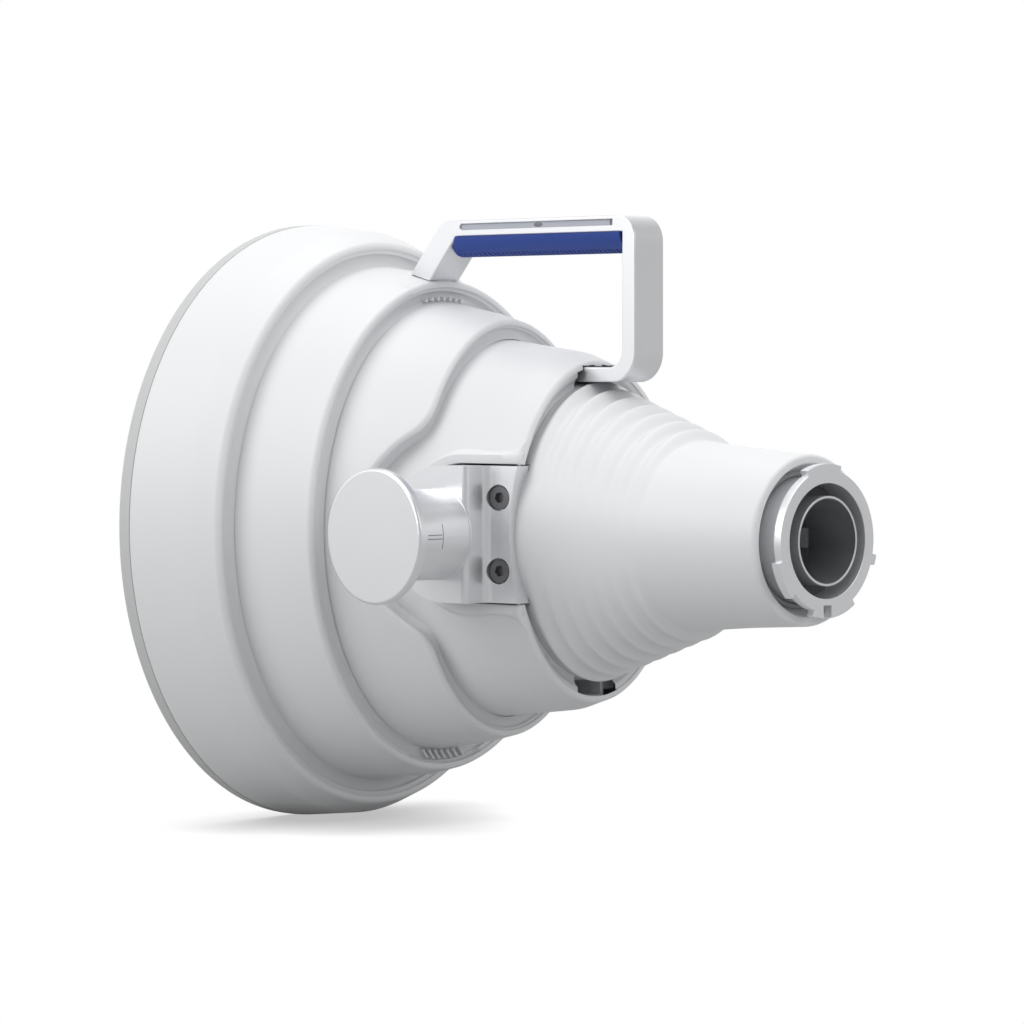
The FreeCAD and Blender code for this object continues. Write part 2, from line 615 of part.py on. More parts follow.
def lug(name, first, last):
    """A sector of the lug ring between two angles, seen from behind with 90 at the top."""
    sector = doc.addObject("Part::Cylinder", name)
    spin = Rotation(Vector(0, 0, 1), 90 - last)
    sector.Placement.Rotation = Rotation(Vector(0, 1, 0), -90) * spin
    bind(sector, Radius="lug_radius", Height="flange_thickness", Angle=str(last - first))
    return sector


flange_turned = revolved("flange_turned", [
    ("0", "recess_radius"), ("0", "flange_radius"), ("flange_thickness", "flange_radius"),
    ("flange_thickness", "stem_radius"), ("throat_at - throat_flange_thickness", "stem_radius"),
    ("throat_at - throat_flange_thickness", "throat_flange_radius"),
    ("throat_at", "throat_flange_radius"), ("throat_at", "throat_radius"),
    ("recess_depth + web_thickness", "throat_radius"),
    ("recess_depth + web_thickness", "sleeve_radius + fit_gap / 3"),
    ("recess_depth", "sleeve_radius + fit_gap / 3"), ("recess_depth", "recess_radius")])

# Each lug is a sector between two angles; the short one is the stop of the bayonet.
LUG_SECTORS = {"top_lug": (74, 114), "left_lug": (195, 226), "bottom_lug": (254, 303),
               "stop_lug": (340, 348)}
lug_bore = rod("lug_bore", "recess_radius + cut_past", "flange_thickness + 2 * cut_past",
               FORWARD, x="cut_past")
lugs = cut("lugs", fuse("lug_sectors", [lug(name, *angles) for name, angles in LUG_SECTORS.items()]),
           [lug_bore])
index_notch = box("index_notch", "- flange_thickness - cut_past", "- notch_width / 2",
                  "- lug_radius - cut_past", "flange_thickness + 2 * cut_past", "notch_width",
                  "lug_radius + cut_past - notch_root_radius")


def throat_ring(name, radius, at, length):
    """Six rods round the throat joint, which screws and their holes share."""
    rods = []
    for index in range(6):
        angle = math.radians(60 * index + 30)
        piece = rod(f"{name}_{index + 1}", radius, length, FORWARD, x=f"- ( {at} )",
                    y=f"throat_screw_circle * {math.cos(angle):.6f}",
                    z=f"throat_screw_circle * {math.sin(angle):.6f}")
        rods.append(piece)
    return fuse(name, rods)


throat_holes = throat_ring("throat_holes", "throat_screw_radius + fit_gap / 3",
                           "throat_at - throat_flange_thickness - cut_past",
                           "2 * throat_flange_thickness + 2 * cut_past")
flange_with_lugs = fuse("flange_with_lugs", [flange_turned, lugs])
subpart("port_flange", cut("flange", flange_with_lugs, [index_notch, throat_holes]))
throat_shanks = throat_ring("throat_shanks", "throat_screw_radius",
                            "throat_at - throat_flange_thickness", "2 * throat_flange_thickness")
throat_heads = throat_ring("throat_heads", "throat_head_radius",
                           "throat_at - throat_flange_thickness - throat_head_height",
                           "throat_head_height")
subpart("throat_screws", fuse("throat_screws", [throat_shanks, throat_heads]))

sleeve_tube = revolved("sleeve_tube", [
    ("0", "port_bore_radius"), ("0", "sleeve_radius"),
    ("sleeve_length + key_length", "sleeve_radius"),
    ("sleeve_length + key_length", "port_bore_radius")])
# Past the sleeve's end only the key tab on the far side is left.
key_space = box("key_space", "- sleeve_length - key_length - cut_past",
                "- sleeve_radius - cut_past", "- sleeve_radius - cut_past",
                "key_length + cut_past", "2 * sleeve_radius + 2 * cut_past",
                "2 * sleeve_radius + 2 * cut_past")
key_tab = box("key_tab", "- sleeve_length - key_length - 2 * cut_past", "0", "- key_width / 2",
              "key_length + 3 * cut_past", "sleeve_radius + 2 * cut_past", "key_width")
subpart("waveguide_sleeve", cut("sleeve", sleeve_tube, [cut("sleeve_end", key_space, [key_tab])]))

subpart("port_gasket", revolved("port_gasket", [
    ("recess_depth - gasket_thickness", "sleeve_radius + fit_gap"),
    ("recess_depth - gasket_thickness", "recess_radius - fit_gap"),
    ("recess_depth", "recess_radius - fit_gap"), ("recess_depth", "sleeve_radius + fit_gap")]))

neck_ring = doc.addObject("Part::Torus", "neck_ring")
neck_ring.Placement.Rotation = Rotation(Vector(0, 1, 0), 90)
bind(neck_ring, Radius1="stem_radius + neck_ring_section", Radius2="neck_ring_section",
     x="- mouth_floor_at + neck_ring_section")
subpart("neck_ring_seal", neck_ring)

# Metal horn inside the housing, from the throat to the mouth, with a pad for each trunnion.


def horn_stations(extra):
    """The horn's sections made wider by extra."""
    mouth = "ledge_at + horn_flange_thickness"
    plain = [("throat_at", "throat_radius", "throat_radius"),
             ("horn_neck_at", "horn_neck_half_width", "horn_neck_half_height"),
             ("horn_waist_at", "horn_waist_half_width", "horn_waist_half_height"),
             ("horn_flare_at", "horn_flare_half_width", "horn_flare_half_height"),
             (mouth, "horn_mouth_half_width", "horn_mouth_half_height")]
    return [(at, f"{wide} + {extra}", f"{tall} + {extra}") for at, wide, tall in plain]


def ledge_ring(name, start, thickness):
    """A flat elliptical ring that lies on the front shell's ledge or on what lies on it."""
    outer = tunnel(f"{name}_outer", [
        (start, "ledge_half_width", "ledge_half_height"),
        (f"{start} + {thickness}", "ledge_half_width", "ledge_half_height")])
    inner = tunnel(f"{name}_inner", [
        (f"{start} - cut_past", "ledge_half_width - ledge_width", "ledge_half_height - ledge_width"),
        (f"{start} + {thickness} + cut_past", "ledge_half_width - ledge_width",
         "ledge_half_height - ledge_width")])
    return outer, inner


horn_inside = tunnel("horn_inside", horn_stations("0"))
horn_skin = tunnel("horn_skin", horn_stations("horn_wall"))
horn_rim = ledge_ring("horn_rim", "ledge_at", "horn_flange_thickness")[0]
throat_flange = rod("throat_flange", "throat_flange_radius", "throat_flange_thickness", FORWARD,
                    x="- throat_at")
left_pad = box("left_pad", "- trunnion_at - pad_half_height", "- block_seat_out",
               "- pad_half_height", "trunnion_at + pad_half_height - block_rear_at - pad_rear_gap",
               "block_seat_out - horn_neck_half_width + pad_sink", "2 * pad_half_height")
right_pad = mirrored("right_pad", left_pad, LEFT)


def tilted(length, radius, name, from_surface):
    """Two rods square to the screw strip, above and below the axis, from a depth under it."""
    tilt = math.radians(number("strip_tilt"))
    along = number("screw_from_front")
    inward = Vector(-math.sin(tilt), math.cos(tilt), 0)
    centre = Vector(-number("strip_front_at") + along * math.cos(tilt),
                    -number("strip_front_out") + along * math.sin(tilt), 0)
    start = centre + inward * from_surface
    pair = []
    for side, sign in (("upper", ""), ("lower", "- ")):
        piece = rod(f"{name}_{side}", radius, length, inward, x=f"{start.x:.6f}",
                    y=f"{start.y:.6f}", z=f"{sign}screw_half_spread")
        pair.append(piece)
    return pair


shank_holes = fuse("left_shank_holes", tilted("shank_length + 1.5 * cut_past", "shank_radius + fit_gap / 3",
                                              "shank_hole", number("counterbore_depth") - number("cut_past")))
right_shank_holes = mirrored("right_shank_holes", shank_holes, LEFT)
horn_solid = fuse("horn_solid", [horn_skin, horn_rim, throat_flange])
horn_with_left = fuse("horn_with_left", [horn_solid, left_pad])
horn_with_pads = fuse("horn_with_pads", [horn_with_left, right_pad])
subpart("metal_horn", cut("metal_horn", horn_with_pads, [
    horn_inside, throat_holes, shank_holes, right_shank_holes]))

gasket_start = "ledge_at + horn_flange_thickness"
gasket_outer, gasket_inner = ledge_ring("cover_gasket", gasket_start, "cover_gasket_thickness")
subpart("cover_gasket", cut("cover_gasket", gasket_outer, [gasket_inner]))

spigot_start = f"{gasket_start} + cover_gasket_thickness"
cover_front = "seam_at + cover_depth"
cover_outside = tunnel("cover_outside", [
    ("seam_at", "rim_half_width", "rim_half_height"),
    *rounded(cover_front, "rim_half_width", "rim_half_height", "cover_round", "-")])
spigot = tunnel("cover_spigot", [
    (spigot_start, "ledge_half_width", "ledge_half_height"),
    ("seam_at + cut_past", "ledge_half_width", "ledge_half_height")])
cover_cavity = tunnel("cover_cavity", [
    (f"{spigot_start} - cut_past", "ledge_half_width - ledge_width", "ledge_half_height - ledge_width"),
    (f"{cover_front} - cover_face", "ledge_half_width - ledge_width",
     "ledge_half_height - ledge_width")])
subpart("front_cover", cut("front_cover", fuse("cover_solid", [cover_outside, spigot]),
                           [cover_cavity]))

# Trunnion: a block that seats on the horn's pad, a sloped screw strip behind it, a spool and an
# end disc.
trunnion = doc.addObject("PartDesign::Body", "trunnion")


def feature(kind, name, direction=None, **formulas):
    """A primitive feature of the trunnion's body."""
    item = trunnion.newObject(f"PartDesign::{kind}", name)
    if direction is not None:
        item.Placement.Rotation = Rotation(Vector(0, 0, 1), direction)
    return bind(item, **formulas)


feature("AdditiveBox", "block", x="- trunnion_at", y="- block_face_out", z="- block_radius",
        Length="trunnion_at - block_rear_at", Width="block_face_out - block_seat_out",
        Height="2 * block_radius")
feature("AdditiveCylinder", "block_nose", LEFT, x="- trunnion_at", y="- block_seat_out",
        Radius="block_radius", Height="block_face_out - block_seat_out")
strip_end = "strip_front_at - block_rear_at + 20"
strip_sketch = outline(trunnion, "strip_profile", "XY_Plane", [
    ("- strip_front_at", "- strip_front_out"),
    ("- strip_front_at", "- block_face_out - 5 * cut_past"),
    (f"- strip_front_at + {strip_end}", "- block_face_out - 5 * cut_past"),
    (f"- strip_front_at + {strip_end}",
     f"- strip_front_out + ( {strip_end} ) * tan(strip_tilt * 1 deg)")])
strip_cut = trunnion.newObject("PartDesign::Pocket", "strip_step")
strip_cut.Profile = strip_sketch
strip_cut.Type = "ThroughAll"
strip_cut.Midplane = True
hollow_radius = "( block_radius ^ 2 + block_hollow ^ 2 ) / ( 2 * block_hollow )"
feature("SubtractiveCylinder", "rear_hollow", LEFT,
        x=f"- block_rear_at - block_hollow + {hollow_radius}", y="- block_seat_out + 5 * cut_past",
        Radius=hollow_radius, Height="block_face_out - block_seat_out + 10 * cut_past")
doc.recompute()


def round_edges(body, name, radius, picked):
    """Rounds the edges of a body's last feature that the picker accepts."""
    base = body.Tip
    edges = [f"Edge{index}" for index, edge in enumerate(base.Shape.Edges, start=1)
             if picked(edge)]
    fillet = body.newObject("PartDesign::Fillet", name)
    fillet.Base = (base, edges)
    bind(fillet, Radius=radius)
    body.Tip = fillet
    doc.recompute()
    return fillet


def upright_at(x, y):
    """Picks the edges along Z through a place in the XY plane."""
    def picked(edge):
        return all(abs(vertex.X - x) < 0.01 and abs(vertex.Y - y) < 0.01
                   for vertex in edge.Vertexes)
    return picked


wall_x = -number("strip_front_at")
round_edges(trunnion, "cove", "cove_round", upright_at(wall_x, -number("strip_front_out")))
round_edges(trunnion, "wall_top", "block_round", upright_at(wall_x, -number("block_face_out")))
feature("AdditiveCylinder", "spool", LEFT, x="- trunnion_at", y="- block_face_out + cut_past",
        Radius="spool_radius", Height="disc_face_out - block_face_out + cut_past - disc_thickness / 2")
feature("AdditiveCylinder", "disc", LEFT, x="- trunnion_at", y="- disc_face_out + disc_thickness",
        Radius="disc_radius", Height="disc_thickness")
doc.recompute()


def circle_at(y, radius):
    """Picks the round edges in a plane square to the trunnion's axis."""
    def picked(edge):
        middle = edge.BoundBox
        return (abs(middle.YMin - y) < 0.01 and abs(middle.YMax - y) < 0.01
                and hasattr(edge.Curve, "Radius") and abs(edge.Curve.Radius - radius) < 0.01)
    return picked


disc_out = -number("disc_face_out")
disc_in = disc_out + number("disc_thickness")
round_edges(trunnion, "disc_edge", "disc_round", circle_at(disc_out, number("disc_radius")))
round_edges(trunnion, "spool_hollow", "spool_round", circle_at(disc_in, number("spool_radius")))
counterbores = fuse("counterbores", tilted("counterbore_depth + 10 * cut_past", "counterbore_radius",
                                           "counterbore", -10))
left_trunnion = subpart("left_trunnion", cut("left_trunnion", trunnion,
                                             [counterbores, shank_holes]))
subpart("right_trunnion", mirrored("right_trunnion", left_trunnion, LEFT))

screw_heads = tilted("head_height", "head_radius", "screw_head",
                     number("counterbore_depth") - number("head_height"))
screw_shanks = tilted("shank_length", "shank_radius", "screw_shank", number("counterbore_depth"))


def hexagons():
    """The sockets of a trunnion's two screws."""
    pair = []
    for head in screw_heads:
        prism = doc.addObject("Part::Prism", "hex_socket")
        prism.Polygon = 6
        prism.Placement.Rotation = head.Placement.Rotation
        place = head.Placement.Base
        bind(prism, Circumradius="socket_across / sqrt(3)", Height="socket_depth",
             x=f"{place.x:.6f}", y=f"{place.y:.6f}", z=f"{place.z:.6f}")
        pair.append(prism)
    return pair


doc.recompute()
left_screws = subpart("left_trunnion_screws", cut(
    "left_screws", fuse("left_screw_solids", screw_heads + screw_shanks),
    [fuse("hex_sockets", hexagons())]))
subpart("right_trunnion_screws", mirrored("right_screws", left_screws, LEFT))

# Handle: one bar bent round, cut to the second shell at its front foot, with a channel along
# each side of its top bar and a grip under it.
handle_body = doc.addObject("PartDesign::Body", "handle_body")
lean = "tan(front_leg_lean * 1 deg)"
BAR_LOW = "handle_top - handle_bar"
foot_front = f"- handle_front_at - ( handle_top - front_leg_foot ) * {lean}"
handle_corners = [
    ("- handle_front_at", "handle_top"),
    (foot_front, "front_leg_foot"),
    (f"{foot_front} + front_leg_run", "front_leg_foot"),
    (f"- handle_front_at - handle_bar * {lean} + front_leg_run", BAR_LOW),
    ("- handle_rear_at - handle_leg", BAR_LOW),
    ("- handle_rear_at - handle_leg", "handle_return_top"),
    ("- handle_return_at", "handle_return_top"),
    ("- handle_return_at", "handle_return_top - handle_return"),
    ("- handle_rear_at", "handle_return_top - handle_return"),
    ("- handle_rear_at", "handle_top")]
handle_sketch = outline(handle_body, "handle_profile", "XZ_Plane", handle_corners)
handle_pad = handle_body.newObject("PartDesign::Pad", "handle_pad")
handle_pad.Profile = handle_sketch
handle_pad.Midplane = True
bind(handle_pad, Length="handle_width")
handle_body.Tip = handle_pad
doc.recompute()
# Corners of the outline, counted from the front top one, and the round of each.
HANDLE_ROUNDS = {0: "handle_front_round", 9: "handle_rear_round", 8: "handle_low_round",
                 5: "handle_inner_round"}


def across_at(corner):
    """Picks the edge along Y through one of the outline's corners."""
    point = handle_sketch.Geometry[corner].StartPoint

    def picked(edge):
        return all(abs(vertex.X - point.x) < 0.01 and abs(vertex.Z - point.y) < 0.01
                   for vertex in edge.Vertexes)
    return picked


for corner, radius in HANDLE_ROUNDS.items():
    round_edges(handle_body, radius, radius, across_at(corner))


def channel(name, side):
    """A channel in one side of the top bar."""
    slot = handle_body.newObject("PartDesign::SubtractiveBox", name)
    edge = "- handle_width / 2" if side == "left" else "handle_width / 2 - rail_depth"
    bind(slot, x="- rail_front_at", y=edge, z="handle_top - rail_drop - rail_height",
         Length="rail_front_at - rail_rear_at", Width="rail_depth", Height="rail_height")


channel("left_channel", "left")
channel("right_channel", "right")
doc.recompute()
second_grown = tunnel("second_grown", [
    ("front_lip_at + step_undercut", "second_half_width + fit_gap", "second_half_height + fit_gap"),
    ("second_crease_at", "second_crease_half_width + fit_gap",
     "second_crease_half_height + fit_gap"),
    *rounded("second_lip_at", "second_lip_half_width + fit_gap",
             "second_lip_half_height + fit_gap", "crest_round", "+"),
    ("second_lip_at - 10 * cut_past", "second_lip_half_width - crest_round",
     "second_lip_half_height - crest_round")])
handle = subpart("handle", cut("handle", handle_body, [second_grown]))

grip_centre = f"{BAR_LOW} + grip_half_width - grip_drop"
grip_front = f"handle_front_at - front_leg_run + handle_bar * {lean}"
grip_rod = rod("grip_rod", "grip_half_width", f"{grip_front} - handle_rear_at - handle_leg "
               "- grip_end_gap", FORWARD, x="- handle_rear_at - handle_leg - grip_end_gap",
               z=grip_centre)
grip_space = box("grip_space", f"- ( {grip_front} ) - 5 * cut_past", "- handle_width", f"{BAR_LOW}",
                 f"{grip_front}", "2 * handle_width", "handle_bar + grip_half_width")
subpart("handle_grip", cut("grip", grip_rod, [grip_space, handle_body]))


def rail_strip(name, side):
    """The coloured strip on the floor of a channel."""
    edge = ("- handle_width / 2 + rail_depth / 2" if side == "left"
            else "handle_width / 2 - rail_depth")
    return box(name, "- rail_front_at", edge, "handle_top - rail_drop - rail_height",
               "rail_front_at - rail_rear_at", "rail_depth / 2", "rail_height")


subpart("handle_side_strips", fuse("side_strips", [rail_strip("left_strip", "left"),
                                                   rail_strip("right_strip", "right")]))


def check():
    """Stops where an object failed or a sub-part is not a sound solid."""
    doc.recompute()
    failed = [item.Name for item in doc.Objects
              if any(word in item.State for word in ("Invalid", "Error"))]
    if failed:
        raise RuntimeError("these objects failed: " + ", ".join(failed))
    for label, item in SUBPARTS.items():
        shape = item.Shape
        if shape.isNull() or not shape.isValid() or not shape.Solids:
            raise RuntimeError(f"{label} is not a sound solid")
        if any(solid.Volume <= 0 for solid in shape.Solids):
            raise RuntimeError(f"{label} is inside out")


check()
os.makedirs("parts", exist_ok=True)
for label, item in SUBPARTS.items():
    item.Shape.exportStep(f"parts/{label}.step")
    print(label, len(item.Shape.Solids), round(item.Shape.Volume / 1000, 2), "cm3")
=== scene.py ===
"""Looks of the horn antenna: smooth moulded shells, metals, rubber and a soft white studio.

The row frame has +X out of the waveguide port, +Z up and the trunnions along Y. Measures below
are in millimetres and run forward from the port's face, so a place x = -s lies at s.
"""

import logging
import math
from collections.abc import Sequence
from dataclasses import dataclass, field, replace
from enum import Enum

import bpy
import numpy as np
from mathutils import Euler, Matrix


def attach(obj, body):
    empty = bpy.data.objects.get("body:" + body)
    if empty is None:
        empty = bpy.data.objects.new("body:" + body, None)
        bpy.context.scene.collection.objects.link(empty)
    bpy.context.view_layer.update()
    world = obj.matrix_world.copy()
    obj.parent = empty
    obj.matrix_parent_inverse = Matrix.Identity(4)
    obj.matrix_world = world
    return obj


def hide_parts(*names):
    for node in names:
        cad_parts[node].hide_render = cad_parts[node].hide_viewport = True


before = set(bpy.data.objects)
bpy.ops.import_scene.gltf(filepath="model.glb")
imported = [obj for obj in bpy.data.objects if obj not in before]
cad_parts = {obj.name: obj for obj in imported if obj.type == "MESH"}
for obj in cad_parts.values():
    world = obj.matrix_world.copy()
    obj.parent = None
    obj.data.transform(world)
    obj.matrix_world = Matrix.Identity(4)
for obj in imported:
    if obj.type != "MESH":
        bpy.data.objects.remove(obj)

log = logging.getLogger("horn")
MM = 0.001
ROOT = "root"
TRUNNION_S = 187.0

# s, half width and half height of a place on the housing
Station = tuple[float, float, float]


class Slot(str, Enum):
    """The record's material slots."""

    WHITE = "white_plastic"
    COVER = "cover_plastic"
    SATIN = "satin_aluminium"
    CAST = "cast_aluminium"
    STEEL = "dark_steel"
    BLACK = "black_rubber"
    GREY = "grey_rubber"
    GRIP = "blue_rubber"
    STRIP = "blue_grey_plastic"


@dataclass(frozen=True)
class Finish:
    """How one surface looks.

    Attributes:
        color: base colour in linear light.
        roughness: mean roughness.
        metallic: share of metal.
        grain: size of the fine bumps per metre of object space.
        bump: height of the fine bumps in metres.
        mottle: how far the roughness wanders.
        specular: specular level of a plastic.
        gap: how strongly shade is painted into crevices, from 0 to 1.
    """

    color: tuple[float, float, float]
    roughness: float
    metallic: float = 0.0
    grain: float = 900.0
    bump: float = 0.00002
    mottle: float = 0.06
    specular: float = 0.5
    gap: float = 0.35


# gap is the strength of the shade painted into each finish's crevices
FINISHES = {
    Slot.WHITE: Finish((0.83, 0.84, 0.85), 0.42, bump=0.000012, gap=0.3),
    Slot.COVER: Finish((0.60, 0.61, 0.61), 0.45, bump=0.000012),
    Slot.SATIN: Finish((0.84, 0.85, 0.87), 0.29, metallic=0.76, grain=1600.0, bump=0.000003,
                       mottle=0.02, gap=0.12),
    Slot.CAST: Finish((0.62, 0.63, 0.65), 0.5, metallic=1.0, grain=700.0, bump=0.00004),
    Slot.STEEL: Finish((0.20, 0.20, 0.21), 0.4, metallic=0.7, grain=1800.0, bump=0.000006),
    Slot.BLACK: Finish((0.10, 0.10, 0.11), 0.6, bump=0.00002, gap=0.0),
    Slot.GREY: Finish((0.42, 0.42, 0.43), 0.6, bump=0.00002),
    Slot.GRIP: Finish((0.038, 0.078, 0.34), 0.55, grain=2200.0, bump=0.00002, specular=0.25,
                      gap=0.6),
    Slot.STRIP: Finish((0.55, 0.57, 0.64), 0.4),
}


def calculate(tree: bpy.types.NodeTree, operation: str,
              *values: bpy.types.NodeSocket | float) -> bpy.types.NodeSocket:
    """Adds a Math node.

    Args:
        tree: the node tree.
        operation: the node's operation.
        *values: what its inputs are linked to, or their constants.

    Returns:
        The node's result.
    """
    node = tree.nodes.new("ShaderNodeMath")
    node.operation = operation
    for socket, value in zip(node.inputs, values):
        if isinstance(value, bpy.types.NodeSocket):
            tree.links.new(value, socket)
        else:
            socket.default_value = value
    return node.outputs[0]


def mixed(tree: bpy.types.NodeTree, share: bpy.types.NodeSocket, first: bpy.types.Node,
          second: bpy.types.Node) -> bpy.types.Node:
    """Adds a Mix Shader node.

    Args:
        tree: the node tree.
        share: how much of the second shader is taken.
        first: the shader where the share is 0.
        second: the shader where the share is 1.

    Returns:
        The node.
    """
    node = tree.nodes.new("ShaderNodeMixShader")
    tree.links.new(share, node.inputs["Fac"])
    tree.links.new(first.outputs[0], node.inputs[1])
    tree.links.new(second.outputs[0], node.inputs[2])
    return node


@dataclass
class MaterialMaker:
    """Makes the procedural materials from one shared node group of surface effects and painted
    crevice shade.

    Attributes:
        bump_strength: strength of the fine bumps.
        mottle_scale: size of the clouds in the roughness, per metre.
        crevice_reach: how far a crevice's shade reaches, in metres.
        crevice_shade_range: the openness where a crevice is darkest and where it ends.
        crevice_shade_colour: the colour that a crevice is multiplied with.
        made: the materials so far, by name.
    """

    bump_strength: float = 0.6
    mottle_scale: float = 28.0
    # crevice_reach: how far a crevice's painted shade reaches, in metres.
    crevice_reach: float = 0.012
    # crevice_shade_range: the openness where the painted crevice shade is darkest and where it
    # ends.
    crevice_shade_range: tuple[float, float] = (0.15, 0.9)
    # crevice_shade_colour: the colour that the base colour is multiplied with in a crevice, as
    # painted shade.
    crevice_shade_colour: tuple[float, float, float, float] = (0.45, 0.45, 0.47, 1.0)
    made: dict[str, bpy.types.Material] = field(default_factory=dict)

    def __post_init__(self) -> None:
        """Builds the shared group."""
        self.group = self._surface_group()

    def _surface_group(self) -> bpy.types.NodeTree:
        """Builds the group that every surface takes: mottled roughness, grain and shade painted
        into crevices.

        Returns:
            The node group with named sockets.
        """
        group = bpy.data.node_groups.new("moulded_surface_with_painted_shade", "ShaderNodeTree")
        face = group.interface
        face.new_socket("Base Color", in_out="INPUT", socket_type="NodeSocketColor")
        for name in ("Roughness", "Grain", "Bump", "Mottle", "Painted Crevice Shade"):
            face.new_socket(name, in_out="INPUT", socket_type="NodeSocketFloat")
        face.new_socket("Color", in_out="OUTPUT", socket_type="NodeSocketColor")
        face.new_socket("Roughness", in_out="OUTPUT", socket_type="NodeSocketFloat")
        face.new_socket("Normal", in_out="OUTPUT", socket_type="NodeSocketVector")
        nodes, links = group.nodes, group.links
        source = nodes.new("NodeGroupInput")
        sink = nodes.new("NodeGroupOutput")
        place = nodes.new("ShaderNodeTexCoord")

        grain = nodes.new("ShaderNodeTexNoise")
        grain.inputs["Detail"].default_value = 3.0
        links.new(place.outputs["Object"], grain.inputs["Vector"])
        links.new(source.outputs["Grain"], grain.inputs["Scale"])
        bump = nodes.new("ShaderNodeBump")
        bump.inputs["Strength"].default_value = self.bump_strength
        links.new(source.outputs["Bump"], bump.inputs["Distance"])
        links.new(grain.outputs["Fac"], bump.inputs["Height"])
        links.new(bump.outputs["Normal"], sink.inputs["Normal"])

        cloud = nodes.new("ShaderNodeTexNoise")
        cloud.inputs["Scale"].default_value = self.mottle_scale
        cloud.inputs["Detail"].default_value = 5.0
        links.new(place.outputs["Object"], cloud.inputs["Vector"])
        centred = calculate(group, "SUBTRACT", cloud.outputs["Fac"], 0.5)
        spread = calculate(group, "MULTIPLY_ADD", centred, source.outputs["Mottle"],
                           source.outputs["Roughness"])
        links.new(spread, sink.inputs["Roughness"])

        # painted shade: an ambient occlusion node darkens the base colour in crevices, where shade
        # would fall
        crevice = nodes.new("ShaderNodeAmbientOcclusion")
        crevice.samples = 8
        crevice.inputs["Distance"].default_value = self.crevice_reach
        shade = nodes.new("ShaderNodeMapRange")
        for name, value in zip(("From Min", "From Max", "To Min", "To Max"),
                               (*self.crevice_shade_range, 1.0, 0.0)):
            shade.inputs[name].default_value = value
        links.new(crevice.outputs["AO"], shade.inputs["Value"])
        crevice_shade = nodes.new("ShaderNodeMix")
        crevice_shade.data_type = "RGBA"
        crevice_shade.blend_type = "MULTIPLY"
        crevice_shade.inputs["B"].default_value = self.crevice_shade_colour
        amount = calculate(group, "MULTIPLY", shade.outputs["Result"], source.outputs["Painted Crevice Shade"])
        links.new(amount, crevice_shade.inputs["Factor"])
        links.new(source.outputs["Base Color"], crevice_shade.inputs["A"])
        links.new(crevice_shade.outputs["Result"], sink.inputs["Color"])
        return group

    def plain(self, name: str, finish: Finish) -> bpy.types.Material:
        """Makes or reuses the material of one finish.

        Args:
            name: the material's name.
            finish: how it looks.

        Returns:
            The material, with its Principled BSDF in its own tree.
        """
        if name in self.made:
            return self.made[name]
        material = bpy.data.materials.new(name)
        material.use_nodes = True
        nodes, links = material.node_tree.nodes, material.node_tree.links
        shader = nodes["Principled BSDF"]
        shader.inputs["Metallic"].default_value = finish.metallic
        shader.inputs["Specular IOR Level"].default_value = finish.specular
        surface_with_shade = nodes.new("ShaderNodeGroup")
        surface_with_shade.node_tree = self.group
        for name_in, value in (("Base Color", (*finish.color, 1.0)),
                               ("Roughness", finish.roughness), ("Grain", finish.grain),
                               ("Bump", finish.bump), ("Mottle", finish.mottle),
                               ("Painted Crevice Shade", finish.gap)):
            surface_with_shade.inputs[name_in].default_value = value
        for given, taken in (("Color", "Base Color"), ("Roughness", "Roughness"),
                             ("Normal", "Normal")):
            links.new(surface_with_shade.outputs[given], shader.inputs[taken])
        material.diffuse_color = (*finish.color, 1.0)
        self.made[name] = material
        return material

    def of(self, slot: Slot) -> bpy.types.Material:
        """The material of one record slot."""
        return self.plain(slot.value, FINISHES[slot])


def blend_corners(stations: Sequence[Station], reaches: Sequence[float],
                  steps: int = 7) -> np.ndarray:
    """Rounds the corners of a path of (s, half width, half height) stations.

    Each round is a parabola: the point that slides from the first end of the round to the corner
    and then to its last end, as the square of the share that has been run.

    Args:
        stations: the corner stations in order.
        reaches: how far before and after each corner its round starts; 0 keeps it sharp.
        steps: the points on each round.

    Returns:
        An array of rows (s, half width, half height).
    """
    corners = np.array(stations, float)
    path = [corners[0]]
    for index in range(1, len(corners) - 1):
        here = corners[index]
        back = corners[index - 1] - here
        ahead = corners[index + 1] - here
        reach = min(reaches[index], 0.49 * np.linalg.norm(back), 0.49 * np.linalg.norm(ahead))
        if reach <= 0:
            path.append(here)
            continue
        start = here + back / np.linalg.norm(back) * reach
        stop = here + ahead / np.linalg.norm(ahead) * reach
        t = np.linspace(0.0, 1.0, steps)[:, None]
        path.extend((1 - t) ** 2 * start + 2 * t * (1 - t) * here + t * t * stop)
    path.append(corners[-1])
    return np.array(path)


